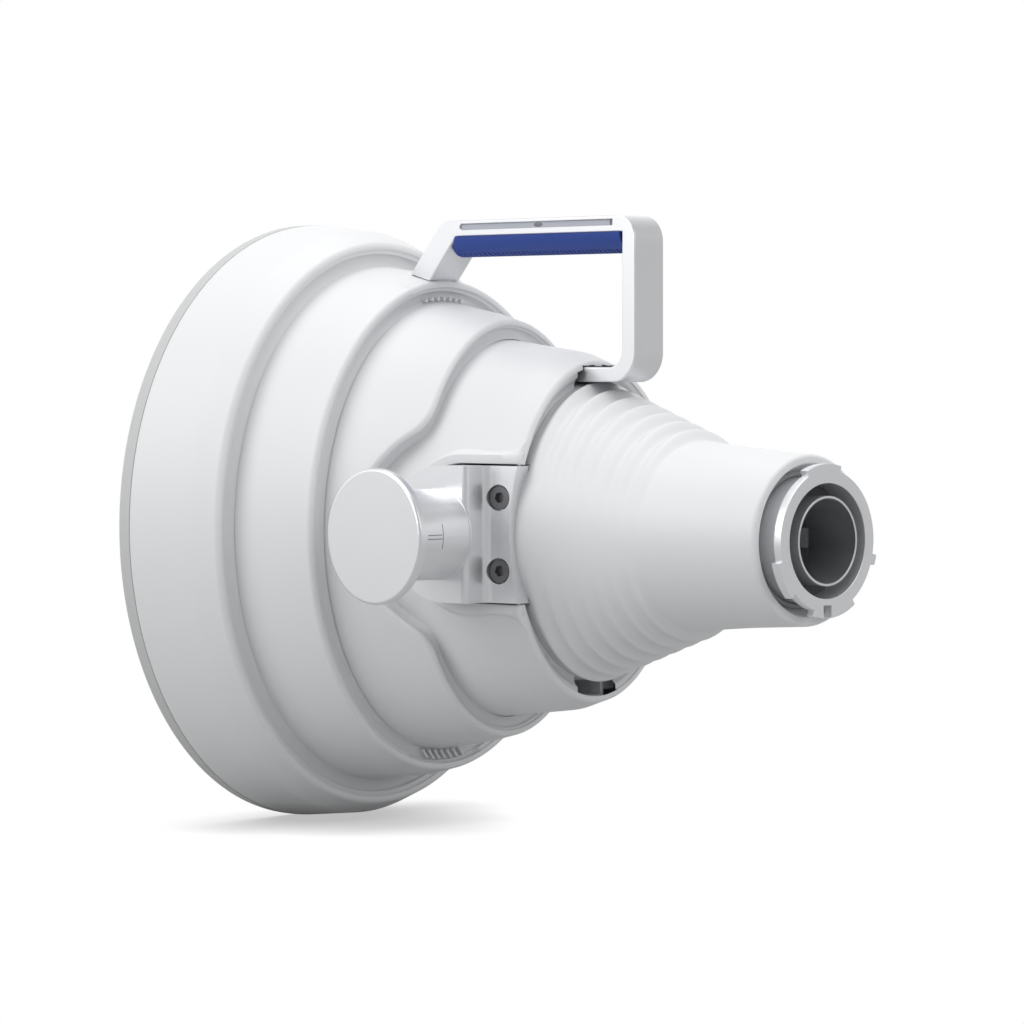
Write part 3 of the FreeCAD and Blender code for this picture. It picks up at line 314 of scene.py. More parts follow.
@dataclass
class MeshMaker:
    """Makes the meshes of the visual model in the row frame, in metres.

    Attributes:
        materials: makes their materials.
        pieces: the objects so far.
    """

    materials: MaterialMaker
    pieces: list[bpy.types.Object] = field(default_factory=list)

    def grid(self, name: str, points: np.ndarray, slot: Slot, closed_v: bool = True,
             closed_u: bool = False, angle: float = 50.0, stands_for: tuple[str, ...] = (),
             flip: bool = False, keep: np.ndarray | None = None) -> bpy.types.Object:
        """Makes an object from a grid of points.

        Args:
            name: the object's name.
            points: an array of shape (rows, columns, 3) in millimetres of the row frame.
            slot: the record slot that it takes its finish from.
            closed_v: whether the columns run round and close.
            closed_u: whether the rows run round and close.
            angle: edges sharper than this many degrees stay sharp.
            stands_for: the CAD nodes that it replaces.
            flip: whether the faces are turned over, so that they point outwards.
            keep: which points keep their faces, if some are left out.

        Returns:
            The linked object, which rides the root body.
        """
        rows, columns = points.shape[:2]
        index = np.arange(rows * columns).reshape(rows, columns)
        if closed_v:
            index = np.concatenate([index, index[:, :1]], axis=1)
        if closed_u:
            index = np.concatenate([index, index[:1]], axis=0)
        quads = np.stack([index[:-1, :-1], index[:-1, 1:], index[1:, 1:], index[1:, :-1]], axis=-1)
        if keep is not None:
            quads = quads[keep.ravel()[quads].all(axis=-1)]
        return self.from_arrays(name, points.reshape(-1, 3), quads.reshape(-1, 4), slot, angle,
                                stands_for, flip)

    def from_arrays(self, name: str, points: np.ndarray, faces: np.ndarray, slot: Slot,
                    angle: float = 50.0, stands_for: tuple[str, ...] = (),
                    flip: bool = False) -> bpy.types.Object:
        """Makes an object from points in millimetres and faces with equal corner counts.

        Args:
            name: the object's name.
            points: rows (x, y, z).
            faces: rows of point numbers.
            slot: the record slot that it takes its finish from.
            angle: edges sharper than this many degrees stay sharp.
            stands_for: the CAD nodes that it replaces.
            flip: whether the faces are turned over.

        Returns:
            The linked object, which rides the root body.
        """
        faces = faces[:, ::-1] if flip else faces
        mesh = bpy.data.meshes.new(name)
        sides = faces.shape[1]
        mesh.vertices.add(len(points))
        mesh.vertices.foreach_set("co", (points * MM).astype(np.float32).ravel())
        mesh.loops.add(faces.size)
        mesh.loops.foreach_set("vertex_index", faces.astype(np.int32).ravel())
        mesh.polygons.add(len(faces))
        mesh.polygons.foreach_set("loop_start", np.arange(0, faces.size, sides, dtype=np.int32))
        mesh.update(calc_edges=True)
        mesh.validate()
        mesh.polygons.foreach_set("use_smooth", np.ones(len(mesh.polygons), bool))
        mesh.set_sharp_from_angle(angle=math.radians(angle))
        mesh.materials.append(self.materials.of(slot))
        made = bpy.data.objects.new(name, mesh)
        bpy.context.scene.collection.objects.link(made)
        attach(made, ROOT)
        if stands_for:
            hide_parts(*stands_for)
        self.pieces.append(made)
        return made


def around(path: np.ndarray, columns: int, snap: float = 0.0) -> np.ndarray:
    """Turns a path of (s, half width, half height) rows into a closed elliptical grid.

    A point lies at half width times the cosine of its turn and half height times the sine.

    Args:
        path: the rows.
        columns: the points on each ring.
        snap: a turn angle that a column on each quarter is moved to, if it isn't 0.

    Returns:
        The grid of points.
    """
    turn = np.linspace(0.0, 2 * np.pi, columns, endpoint=False)
    if snap:
        for place in (snap, math.pi - snap, math.pi + snap, 2 * math.pi - snap):
            turn[np.argmin(np.abs(turn - place))] = place
    s = np.repeat(path[:, :1], columns, axis=1)
    return np.stack([-s, path[:, 1:2] * np.cos(turn), path[:, 2:3] * np.sin(turn)], axis=-1)


@dataclass(frozen=True)
class Shell:
    """One lipped shell of the housing, from its root at the front to its lip at the rear.

    Attributes:
        name: the object's name.
        node: the CAD node that it stands for.
        outside: the outer stations from the front on, without the lip.
        reaches: the rounds of those stations.
        lip: the lip's station.
        inner: half width and half height where the undercut face ends.
        wide: how round the lip is.
        land: flat face inside the round.
        ledge: ledge between that face and the valley.
        sunk: how far the ledge lies in front of the face.
        valley: how deep the valley round the next shell runs forward.
    """

    name: str
    node: str
    outside: tuple[Station, ...]
    reaches: tuple[float, ...]
    lip: Station
    inner: tuple[float, float]
    wide: float = 1.6
    land: float = 1.5
    ledge: float = 2.0
    sunk: float = 1.5
    valley: float = 3.4


SHELLS = [
    Shell("front_shell_skin", "front_shell",
          ((360.3, 129.2, 156.7), (360.3, 131.0, 158.5), (324.0, 122.0, 154.5)),
          (0.0, 0.5, 1.0), (308.5, 116.5, 148.0), (104.3, 136.3), land=1.9, ledge=2.6),
    Shell("second_shell_skin", "second_shell",
          ((322.0, 104.0, 136.0), (314.0, 104.0, 136.0), (276.0, 99.0, 131.0)),
          (0.0, 2.0, 1.0), (260.5, 96.5, 127.0), (86.3, 117.3)),
    Shell("third_shell_skin", "third_shell",
          ((274.0, 86.0, 117.0), (266.0, 86.0, 117.0), (229.0, 73.5, 110.5)),
          (0.0, 2.0, 1.0), (213.0, 68.5, 106.5), (61.3, 97.8), land=1.2, ledge=1.3,
          valley=2.6),
]


@dataclass
class ShellBuilder:
    """Builds the lipped shells, also where the lip swings forward round a bay.

    Attributes:
        meshes: makes the meshes.
        columns: points round each ring.
        strip: width of the outer strip that follows the lip.
        bay_radius: the arc of the lip round the trunnion's axis.
        bay_blend: the arc that leads from it into the plain lip.
        clip_sunk: how far the ledge lies in front of the face under the lower clip.
        clip_valley: how deep the valley is there.
        ledge_round: how far the ledge's edge is rounded.
        undercut: how far the valley's inner end lies behind its start.
        root_depth: least depth of the valley's inner end in the bay.
    """

    meshes: MeshMaker
    columns: int = 420
    strip: float = 9.0
    bay_radius: float = 60.0
    bay_blend: float = 18.0
    clip_sunk: float = 3.4
    clip_valley: float = 1.6
    ledge_round: float = 0.3
    undercut: float = 0.8
    root_depth: float = 10.0

    def lip_curve(self, shell: Shell, bay: bool) -> tuple[np.ndarray, np.ndarray]:
        """Places the lip in the (s, turn) plane with columns spread evenly along it.

        Args:
            shell: the shell.
            bay: whether the lip swings round the trunnion's bay on both sides.

        Returns:
            The s and the turn angle of each column.
        """
        lip_s, _, tall = shell.lip
        turn = np.linspace(0.0, 2 * np.pi, 4000, endpoint=False)
        s = np.full_like(turn, lip_s)
        if bay:
            reach = self.bay_radius + self.bay_blend
            blend_s = lip_s + self.bay_blend
            blend_z = math.sqrt(reach ** 2 - (blend_s - TRUNNION_S) ** 2)
            touch_z = blend_z * self.bay_radius / reach
            for _ in range(12):
                height = np.abs(outside_at(shell, s)[1] * np.sin(turn))
                arc = TRUNNION_S + np.sqrt(np.maximum(self.bay_radius ** 2 - height ** 2, 0))
                ease = blend_s - np.sqrt(np.maximum(
                    self.bay_blend ** 2 - (blend_z - height) ** 2, 0))
                s = np.where(height < touch_z, arc, np.where(height < blend_z, ease, lip_s))
        wide = shell.lip[1]
        y, z = wide * np.cos(turn), tall * np.sin(turn)
        step = np.sqrt(np.diff(np.append(s, s[0])) ** 2 + np.diff(np.append(y, y[0])) ** 2
                       + np.diff(np.append(z, z[0])) ** 2)
        run = np.concatenate([[0.0], np.cumsum(step)])
        even = np.linspace(0.0, run[-1], self.columns, endpoint=False)
        return (np.interp(even, run, np.append(s, s[0])),
                np.interp(even, run, np.append(turn, 2 * np.pi)))

    def build(self, shell: Shell, bay: bool = False) -> bpy.types.Object:
        """Builds one shell as a grid from the valley behind its lip to its root at the front.

        Each row lies a distance forward of the lip, measured square to it in the unrolled outer
        surface, and a depth below that surface. The valley's rows follow half a sine wave, the
        lip's rows a quarter of a circle.

        Args:
            shell: the shell.
            bay: whether the lip swings round the trunnion's bay on both sides.

        Returns:
            The shell.
        """
        lip_s, lip_turn = self.lip_curve(shell, bay)
        outside = blend_corners([*shell.outside, shell.lip], [*shell.reaches, 0.0], 9)
        order = np.argsort(outside[:, 0], kind="stable")
        sorted_s = outside[order, 0]

        def half(s: np.ndarray, column: int) -> np.ndarray:
            """The half width (column 1) or half height (column 2) at each s."""
            return np.interp(s, sorted_s, outside[order, column])

        # the lip's normal in the unrolled surface, pointing forward into the shell
        around_step = np.sqrt((half(lip_s, 1) * np.sin(lip_turn)) ** 2
                              + (half(lip_s, 2) * np.cos(lip_turn)) ** 2)
        ds = np.roll(lip_s, -1) - np.roll(lip_s, 1)
        dturn = np.roll(lip_turn, -1) - np.roll(lip_turn, 1)
        dturn = np.where(dturn < 0, dturn + 2 * np.pi, dturn)
        dw = dturn * around_step
        length = np.sqrt(ds ** 2 + dw ** 2)
        normal_s = dw / length
        normal_turn = -ds / length / around_step

        rows: list[tuple[np.ndarray, np.ndarray, np.ndarray]] = []

        def row(forward: float | np.ndarray, depth: float | np.ndarray) -> None:
            """Adds a row at a distance forward of the lip and a depth below the surface."""
            rows.append((lip_s + normal_s * forward, lip_turn + normal_turn * forward,
                         np.broadcast_to(depth, lip_s.shape)))

        deepest = half(lip_s, 1) - (shell.inner[0] - 1.0)
        if bay:
            deepest = np.maximum(deepest, self.root_depth)
        # under the lower clip the ledge falls back, so that the clip stands over a deep hollow
        clipped = (shell.node == "second_shell") & (np.sin(lip_turn) < 0) & (
            np.abs(shell.lip[1] * np.cos(lip_turn)) < LipClips.half)
        sunk = np.where(clipped, self.clip_sunk, shell.sunk)
        valley = np.where(clipped, self.clip_valley, shell.valley)
        face_end = shell.wide + shell.land
        ledge_end = face_end + self.ledge_round + shell.ledge
        for turned in np.linspace(np.pi, 0.0, 15):
            swing = (1 - math.cos(turned)) / 2
            lean = self.undercut * turned / np.pi
            row(sunk + self.ledge_round + valley * math.sin(turned) - lean,
                ledge_end + (deepest - ledge_end) * swing)
        # rows close to the ledge's and the face's edges keep them crisp
        for forward, inward in ((sunk, 0.9), (sunk - self.ledge_round, 0.3), (0.35, 0.15),
                                (0.08, -0.12)):
            row(forward, face_end + inward)
        for bend in np.linspace(0.0, np.pi / 2, 10):
            row(shell.wide * (1 - math.cos(bend)), shell.wide * (1 - math.sin(bend)))
        for ahead in np.linspace(shell.wide, self.strip, 6)[1:]:
            row(ahead, 0.0)
        edge_s, edge_turn, _ = rows[-1]
        front_s = float(outside[0, 0])
        start_turn = np.linspace(0.0, 2 * np.pi, self.columns, endpoint=False)
        start_turn = start_turn if bay else edge_turn
        root_s = float(shell.outside[1][0])
        for share in np.linspace(0.0, 1.0, 26)[1:]:
            rows.append((edge_s + (root_s - edge_s) * share,
                         edge_turn + (start_turn - edge_turn) * share, np.zeros_like(edge_s)))
        places = np.stack([np.stack(item) for item in rows])
        s, turn, depth = places[:, 0], places[:, 1], places[:, 2]
        # the outer surface goes straight on behind the plain lip, so that the bay can be cut
        wide, tall = half(s, 1) - depth, half(s, 2) - depth
        grid = np.stack([-s, wide * np.cos(turn), tall * np.sin(turn)], axis=-1)
        first = shell.outside[0]
        ending = np.stack([np.full(self.columns, -front_s), first[1] * np.cos(start_turn),
                           first[2] * np.sin(start_turn)], axis=-1)
        grid = np.concatenate([grid, ending[None]])
        return self.meshes.grid(shell.name, grid, Slot.WHITE, angle=60.0,
                                stands_for=(shell.node,), flip=True)


def outside_at(shell: Shell, s: np.ndarray) -> tuple[np.ndarray, np.ndarray]:
    """The outer half width and half height of a shell at each s."""
    stations = np.array([*shell.outside, shell.lip])[::-1]
    return (np.interp(s, stations[:, 0], stations[:, 1]),
            np.interp(s, stations[:, 0], stations[:, 2]))


@dataclass
class Housing:
    """The white housing, from the front cover to the neck's mouth.

    Attributes:
        meshes: makes the meshes.
        columns: points round each ring.
        front: the stations of the front cover, from its rear edge to its middle.
        front_reaches: their rounds.
        neck_front: s of the neck's front edge, under the rear shell's lip.
        neck_root: the station where the ridges start.
        neck_end: the station where its ridges end.
        ridge_pitch: distance from ridge to ridge.
        ridge_rise: height of a ridge.
        ridges: their count.
        ridged_painted_shade: how strongly shade is painted into the valleys between the ridges.
        mouth: the stations from the last ridge to the floor round the port.
        mouth_reaches: their rounds.
    """

    meshes: MeshMaker
    columns: int = 320
    front: tuple[Station, ...] = (
        (360.6, 120.0, 147.5), (360.6, 131.0, 158.5), (370.5, 131.0, 158.5),
        (370.5, 100.0, 125.0), (370.5, 0.5, 0.6))
    front_reaches: tuple[float, ...] = (0, 0.6, 5.4, 6.0, 0)
    neck_front: float = 159.5
    neck_root: Station = (156.5, 55.5, 74.6)
    neck_end: Station = (79.5, 46.5, 46.5)
    ridge_pitch: float = 10.5
    ridge_rise: float = 3.6
    ridges: float = 7.0
    ridged_painted_shade: float = 0.85
    mouth: tuple[Station, ...] = (
        (79.5, 46.5, 46.5), (49.5, 43.6, 43.6), (11.0, 41.2, 41.2), (11.0, 36.6, 36.6),
        (13.0, 36.0, 36.0), (19.0, 33.6, 33.6), (20.0, 30.6, 30.6))
    mouth_reaches: tuple[float, ...] = (0, 12.0, 2.6, 1.4, 2.0, 1.2, 0)

    def build(self) -> None:
        """Builds every piece of the housing."""
        self.cover()
        shells = ShellBuilder(self.meshes)
        for shell in SHELLS:
            shells.build(shell, bay=shell.node == "third_shell")
        RearShell(self.meshes).build()
        LipClips(self.meshes).build()
        self.neck()

    def cover(self) -> None:
        """Builds the front cover: a band round the rim and a plain face with a soft edge."""
        path = blend_corners(self.front, self.front_reaches, 9)
        self.meshes.grid("front_cover_skin", around(path, self.columns), Slot.COVER, angle=60.0,
                         stands_for=("front_cover",), flip=True)

    def neck(self) -> None:
        """Builds the neck's ridged part and its mouth.

        The ridged part runs straight from root to end, and a raised cosine is added to its half
        height alone, so that the ridges die out at the sides.
        """
        root, end = self.neck_root, self.neck_end
        s = np.linspace(root[0], end[0], 250)
        share = (s - end[0]) / (root[0] - end[0])
        place = (s - end[0]) / self.ridge_pitch
        ripple = np.where(place < self.ridges, 0.5 - 0.5 * np.cos(2 * np.pi * place), 0.0)
        wide = end[1] + (root[1] - end[1]) * share
        tall = end[2] + (root[2] - end[2]) * share + self.ridge_rise * ripple
        ridged = np.stack([s, wide, tall], axis=1)
        front = np.concatenate([[(self.neck_front, *root[1:])], ridged])
        mouth = blend_corners(self.mouth, self.mouth_reaches, 9)
        # painted shade: the ridged part's crevices darken strongly, the mouth's not at all
        self.finish(self.meshes.grid("neck_cover_skin", around(front, self.columns), Slot.WHITE,
                                     angle=60.0, stands_for=("neck_cover",)),
                    "white_ridged_painted_shade", self.ridged_painted_shade)
        self.finish(self.meshes.grid("neck_mouth_skin", around(mouth, self.columns), Slot.WHITE,
                                     angle=60.0), "white_mouth", 0.0)

    def finish(self, made: bpy.types.Object, name: str, gap: float) -> None:
        """Gives a white piece its own share of painted crevice shade.

        Args:
            made: the piece.
            name: the material's name.
            gap: how strongly shade is painted into its crevices.
        """
        own = replace(FINISHES[Slot.WHITE], gap=gap)
        made.data.materials[0] = self.meshes.materials.plain(name, own)


@dataclass
class TrunnionCollar:
    """The band of the rear shell round one trunnion block, with a soft outer fillet.

    Attributes:
        meshes: makes the meshes.
        block: the block's half height and the radius of its nose.
        gap: the gap round the block.
        band: width of the flat band.
        rear: where the band ends behind, at the shell's lip.
        face: half width of the band there.
        slope: the band's slope along the axis.
        corner: radius of the band's corner at the lip.
        lip_round: radius of its rear edge.
        wall: depth of the gap's wall.
        drop: how far the band has fallen at the end of its corner, as a share of its rise.
        tuck: how far its last row lies under the skin.
    """

    meshes: MeshMaker
    block: float = 34.1
    gap: float = 0.6
    band: float = 4.6
    rear: float = 151.02
    face: float = 55.9
    slope: float = math.radians(7.0)
    corner: float = 10.0
    lip_round: float = 2.2
    wall: float = 14.0
    drop: float = 0.45
    tuck: float = 0.25

    def outline(self) -> np.ndarray:
        """The block's outline in side view as rows (s, z, outward s, outward z)."""
        # the points lie closer together near the lip, where the band turns round a corner
        reach = TRUNNION_S - self.rear
        straight = self.rear + reach * np.linspace(0.0, 1.0, 60) ** 1.25
        turn = np.linspace(-np.pi / 2, np.pi / 2, 90)[1:-1]
        none, full = np.zeros_like(straight), np.ones_like(straight)
        lower = np.stack([straight, -self.block * full, none, -full], axis=1)
        nose = np.stack([TRUNNION_S + self.block * np.cos(turn), self.block * np.sin(turn),
                         np.cos(turn), np.sin(turn)], axis=1)
        upper = np.stack([straight[::-1], self.block * full, none, full], axis=1)
        return np.concatenate([lower, nose, upper])

    def build(self, name: str, side: float) -> bpy.types.Object:
        """Builds the collar on one side.

        Its rows are the block's outline moved outwards. They run down the gap's wall, over the
        flat band and down to the skin, with a fall of 3 t squared less 2 t cubed.

        Args:
            name: the object's name.
            side: -1 for the near side, 1 for the far one.

        Returns:
            The collar.
        """
        s, z, out_s, out_z = self.outline().T
        grid = []

        def level(at_s: np.ndarray) -> np.ndarray:
            """The band's half width at each s, with its round at the lip."""
            plain = self.face + (at_s - self.rear) * math.tan(self.slope)
            past = np.clip((self.rear + self.lip_round - at_s) / self.lip_round, 0.0, 1.0)
            return plain - self.lip_round * (1 - np.sqrt(1 - past ** 2))

        def skin(at_s: np.ndarray, at_z: np.ndarray) -> np.ndarray:
            """The half width of the rear shell's skin at each s and z."""
            wide = np.interp(at_s, REAR_OUTSIDE[:, 0], REAR_OUTSIDE[:, 1])
            tall = np.interp(at_s, REAR_OUTSIDE[:, 0], REAR_OUTSIDE[:, 2])
            return wide * np.sqrt(np.maximum(1 - (at_z / tall) ** 2, 0.0))

        def add(outward: float, lower: float) -> None:
            """Adds a row outside the block's outline and lower than the band."""
            at_s, at_z = s + out_s * outward, z + out_z * outward
            grid.append(np.stack([-at_s, side * (level(at_s) - lower), at_z], axis=-1))

        band = self.band + 0.4
        for outward, lower in ((self.gap, self.wall), (self.gap, 0.5), (self.gap + 0.12, 0.18),
                               (self.gap + 0.45, 0.0), (band, 0.0)):
            add(outward, lower)
        before = np.maximum(0.0, self.corner - (s - self.rear))
        corner = self.corner - np.sqrt(np.maximum(self.corner ** 2 - before ** 2, 0.0))
        band_s, band_z = s + out_s * band, z + out_z * band
        proud = np.maximum(level(band_s) - skin(band_s, band_z), 0.0)

        def raised(outward: np.ndarray, share: np.ndarray, sink: float) -> None:
            """Adds a row that follows the skin with a share of the band's rise."""
            at_s, at_z = s + out_s * outward, z + out_z * outward
            past = np.clip((self.rear + self.lip_round - at_s) / self.lip_round, 0.0, 1.0)
            lip = self.lip_round * (1 - np.sqrt(1 - past ** 2)) * np.minimum(1.0, corner / 2.0)
            y = skin(at_s, at_z) + proud * share - lip - sink
            grid.append(np.stack([-at_s, side * y, at_z], axis=-1))

        drop = self.drop * np.minimum(1.0, corner / 3.0)
        for part in np.linspace(0.0, 1.0, 9)[1:]:
            raised(band + corner * part, 1.0 - part * drop, 0.0)
        for step in np.linspace(0.0, 1.0, 12)[1:]:
            fall = step * step * (3 - 2 * step)
            raised(band + corner + (1.0 + 0.5 * proud) * step, (1.0 - drop) * (1 - fall),
                   self.tuck * step)
        return self.meshes.grid(name, np.array(grid), Slot.WHITE, closed_v=False, angle=70.0,
                                flip=side > 0)


REAR_LIP: Station = (151.0, 60.5, 86.0)
REAR_OUTSIDE = blend_corners([REAR_LIP, (167.0, 62.0, 90.5), (222.5, 61.0, 97.5),
                              (256.0, 68.0, 103.5)], [0, 2.2, 6.0, 0], 7)


@dataclass
class RearShell:
    """The rear shell's skin with the openings for the blocks and its two collars.

    Attributes:
        meshes: makes the meshes.
        lip: the lip's station.
        lip_round: radius of the lip's edge.
        step: longest step between two rows.
        columns: points round each ring.
        valley: the lip's face, its ledge and the valley that runs in to the neck's root.
        opening_half: half height of the opening for a trunnion's block.
        opening_tall: the skin's half height that this is measured on.
        sill_s: where the walls beside the handle sockets stand.
        sill_y: how far out they run.
        sill_z: how high they run.
    """

    meshes: MeshMaker
    lip: Station = REAR_LIP
    lip_round: float = 2.2
    step: float = 1.2
    columns: int = 720
    valley: tuple[Station, ...] = (
        (151.05, 57.5, 83.0), (151.12, 57.3, 82.6), (151.9, 57.2, 82.45), (152.1, 56.9, 82.1),
        (152.2, 56.5, 79.8), (152.9, 56.3, 79.2), (153.9, 56.1, 78.2), (154.7, 55.9, 76.8),
        (154.9, 55.6, 75.2), (154.6, 55.35, 73.9))
    opening_half: float = 34.25
    opening_tall: float = 84.0
    sill_s: float = 161.8
    sill_y: tuple[float, float] = (12.9, 22.5)
    sill_z: tuple[float, float] = (69.5, 80.5)

    def build(self) -> None:
        """Builds the skin, the walls beside the sockets and the collars.

        The skin is an ellipse at each s. Its rows lie at most a step apart, and those of the lip
        follow a quarter of a circle: its radius times one less a sine along s, and times one less
        a cosine inwards.
        """
        outside = REAR_OUTSIDE[::-1]
        turn = np.linspace(0.0, np.pi / 2, 8)
        inward = self.lip_round * (1 - np.cos(turn))
        lip = np.stack([self.lip[0] + self.lip_round * (1 - np.sin(turn)), self.lip[1] - inward,
                        self.lip[2] - inward], axis=1)
        outside = outside[outside[:, 0] > self.lip[0] + self.lip_round + 0.2]
        rows = []
        for before, after in zip(outside[:-1], outside[1:]):
            count = max(1, int(abs(before[0] - after[0]) / self.step))
            rows += [before + (after - before) * k / count for k in range(count)]
        path = np.array([*rows, outside[-1], *lip, *self.valley])
        # one column in each quarter is moved to the edge of the opening for the block
        grid = around(path, self.columns, snap=math.asin(self.opening_half / self.opening_tall))
        self.meshes.grid("rear_shell_skin", grid, Slot.WHITE, angle=60.0,
                         stands_for=("rear_shell",), keep=self.outside_openings(grid))
        for name, side, up in (("upper_left_sill", -1, 1), ("upper_right_sill", 1, 1),
                               ("lower_left_sill", -1, -1), ("lower_right_sill", 1, -1)):
            across, tall = np.meshgrid(np.linspace(*self.sill_y, 4), np.linspace(*self.sill_z, 4))
            self.meshes.grid(name, np.stack([np.full_like(across, -self.sill_s), side * across,
                                             up * tall], axis=-1), Slot.WHITE, closed_v=False,
                             flip=side * up < 0)
        collar = TrunnionCollar(self.meshes)
        collar.build("left_collar", -1.0)
        collar.build("right_collar", 1.0)

    def outside_openings(self, grid: np.ndarray) -> np.ndarray:
        """Tells which points lie outside the openings for the blocks, the leg and the sockets.

        Args:
            grid: the skin's points.

        Returns:
            True for each point that stays.
        """
        s, y, z = -grid[..., 0], np.abs(grid[..., 1]), grid[..., 2]
        # the opening for a block is wider in front of the lip, where the collar covers its edge
        grown = TrunnionCollar.block + np.where(s > self.lip[0] + 2.4, 2.6, -0.2)
        outer = y > 30.0
        beside = outer & (np.abs(z) < grown) & (s < TRUNNION_S)
        nose = outer & ((s - TRUNNION_S) ** 2 + z ** 2 < grown ** 2)
        low, front = 72.0, 168.0
        leg = (y < 10.8) & (z > low) & (z < 82.9) & (s < front)
        mouths = ((y < 13.4) & (np.abs(z) > low) & (np.abs(z) < 82.2) & (s > self.lip[0] + 0.2)
                  & (s < front))
        return ~(beside | nose | leg | mouths)


@dataclass
class LipClips:
    """The clips at the top and bottom of the second shell's lip, with the ribs behind them.

    Attributes:
        meshes: makes the meshes.
        lip: the lip's station.
        slopes: how fast the lip's half width and half height grow forward.
        half: half the width of a clip.
        profile: s of each row and its height above the lip's crest, from front to rear.
        ribs_half: half the width that the ribs take.
        upper_rib: height above the crest, lean and s of an upper rib's outer and inner end.
        lower_rib: the same for a lower rib.
    """

    meshes: MeshMaker
    lip: Station = SHELLS[1].lip
    slopes: tuple[float, float] = (0.16, 0.258)
    half: float = 25.0
    profile: tuple[tuple[float, float], ...] = (
        (269.5, -0.6), (269.5, 0.12), (262.5, 0.12), (261.2, -0.25), (260.55, -0.95),
        (260.38, -1.8), (260.38, -3.0), (261.6, -3.3))
    ribs_half: float = 12.9
    upper_rib: tuple[tuple[float, float, float], ...] = ((-8.2, 0.4, 261.9), (-9.9, -0.4, 261.6))
    lower_rib: tuple[tuple[float, float, float], ...] = ((-5.2, 2.1, 263.2), (-9.9, -2.1, 262.4))

    def build(self) -> None:
        """Builds both clips and their ribs."""
        self.patch("upper_clip_skin", 1.0, "upper_lip_clip")
        self.patch("lower_clip_skin", -1.0, "lower_lip_clip")

    def patch(self, name: str, side: float, node: str) -> None:
        """Builds one clip as a thin patch over the lip's crest.

        Each row is the lip's ellipse at its s, lifted by the row's height.

        Args:
            name: the object's name.
            side: 1 for the top, -1 for the bottom.
            node: the CAD node that it stands for.
        """
        y = np.linspace(-self.half, self.half, 61)
        rows = []
        for s, lift in self.profile:
            wide = self.lip[1] + (s - self.lip[0]) * self.slopes[0]
            tall = self.lip[2] + (s - self.lip[0]) * self.slopes[1]
            z = (tall + lift) * np.sqrt(1 - (y / wide) ** 2)
            rows.append(np.stack([np.full_like(y, -s), y, side * z], axis=-1))
        self.meshes.grid(name, np.array(rows), Slot.WHITE, closed_v=False, angle=40.0,
                         stands_for=(node,), flip=side > 0)
        self.ribs(name.replace("skin", "ribs"), side)

    def ribs(self, name: str, side: float) -> None:
        """Builds the slanted ribs in the lower clip's hollow, or the short ones of the upper.

        Each rib is a block of eight corners, a little narrower behind than in front.

        Args:
            name: the object's name.
            side: 1 for the top, -1 for the bottom.
        """
        points, faces = [], []
        for centre in np.linspace(-self.ribs_half, self.ribs_half, 7):
            a = len(points)
            for height, lean, s in self.upper_rib if side > 0 else self.lower_rib:
                z = (self.lip[2] + height) * math.sqrt(1 - (centre / self.lip[1]) ** 2)
                for across in (-1.0, 1.0):
                    points += [(-s, centre + across * 0.8 + lean, side * z),
                               (-s - 4.0, centre + across + lean, side * z)]
            faces += [(a, a + 2, a + 6, a + 4), (a + 1, a, a + 4, a + 5),
                      (a + 2, a + 3, a + 7, a + 6), (a, a + 1, a + 3, a + 2),
                      (a + 4, a + 6, a + 7, a + 5)]
        self.meshes.from_arrays(name, np.array(points), np.array(faces), Slot.WHITE, 20.0,
                                flip=side > 0)


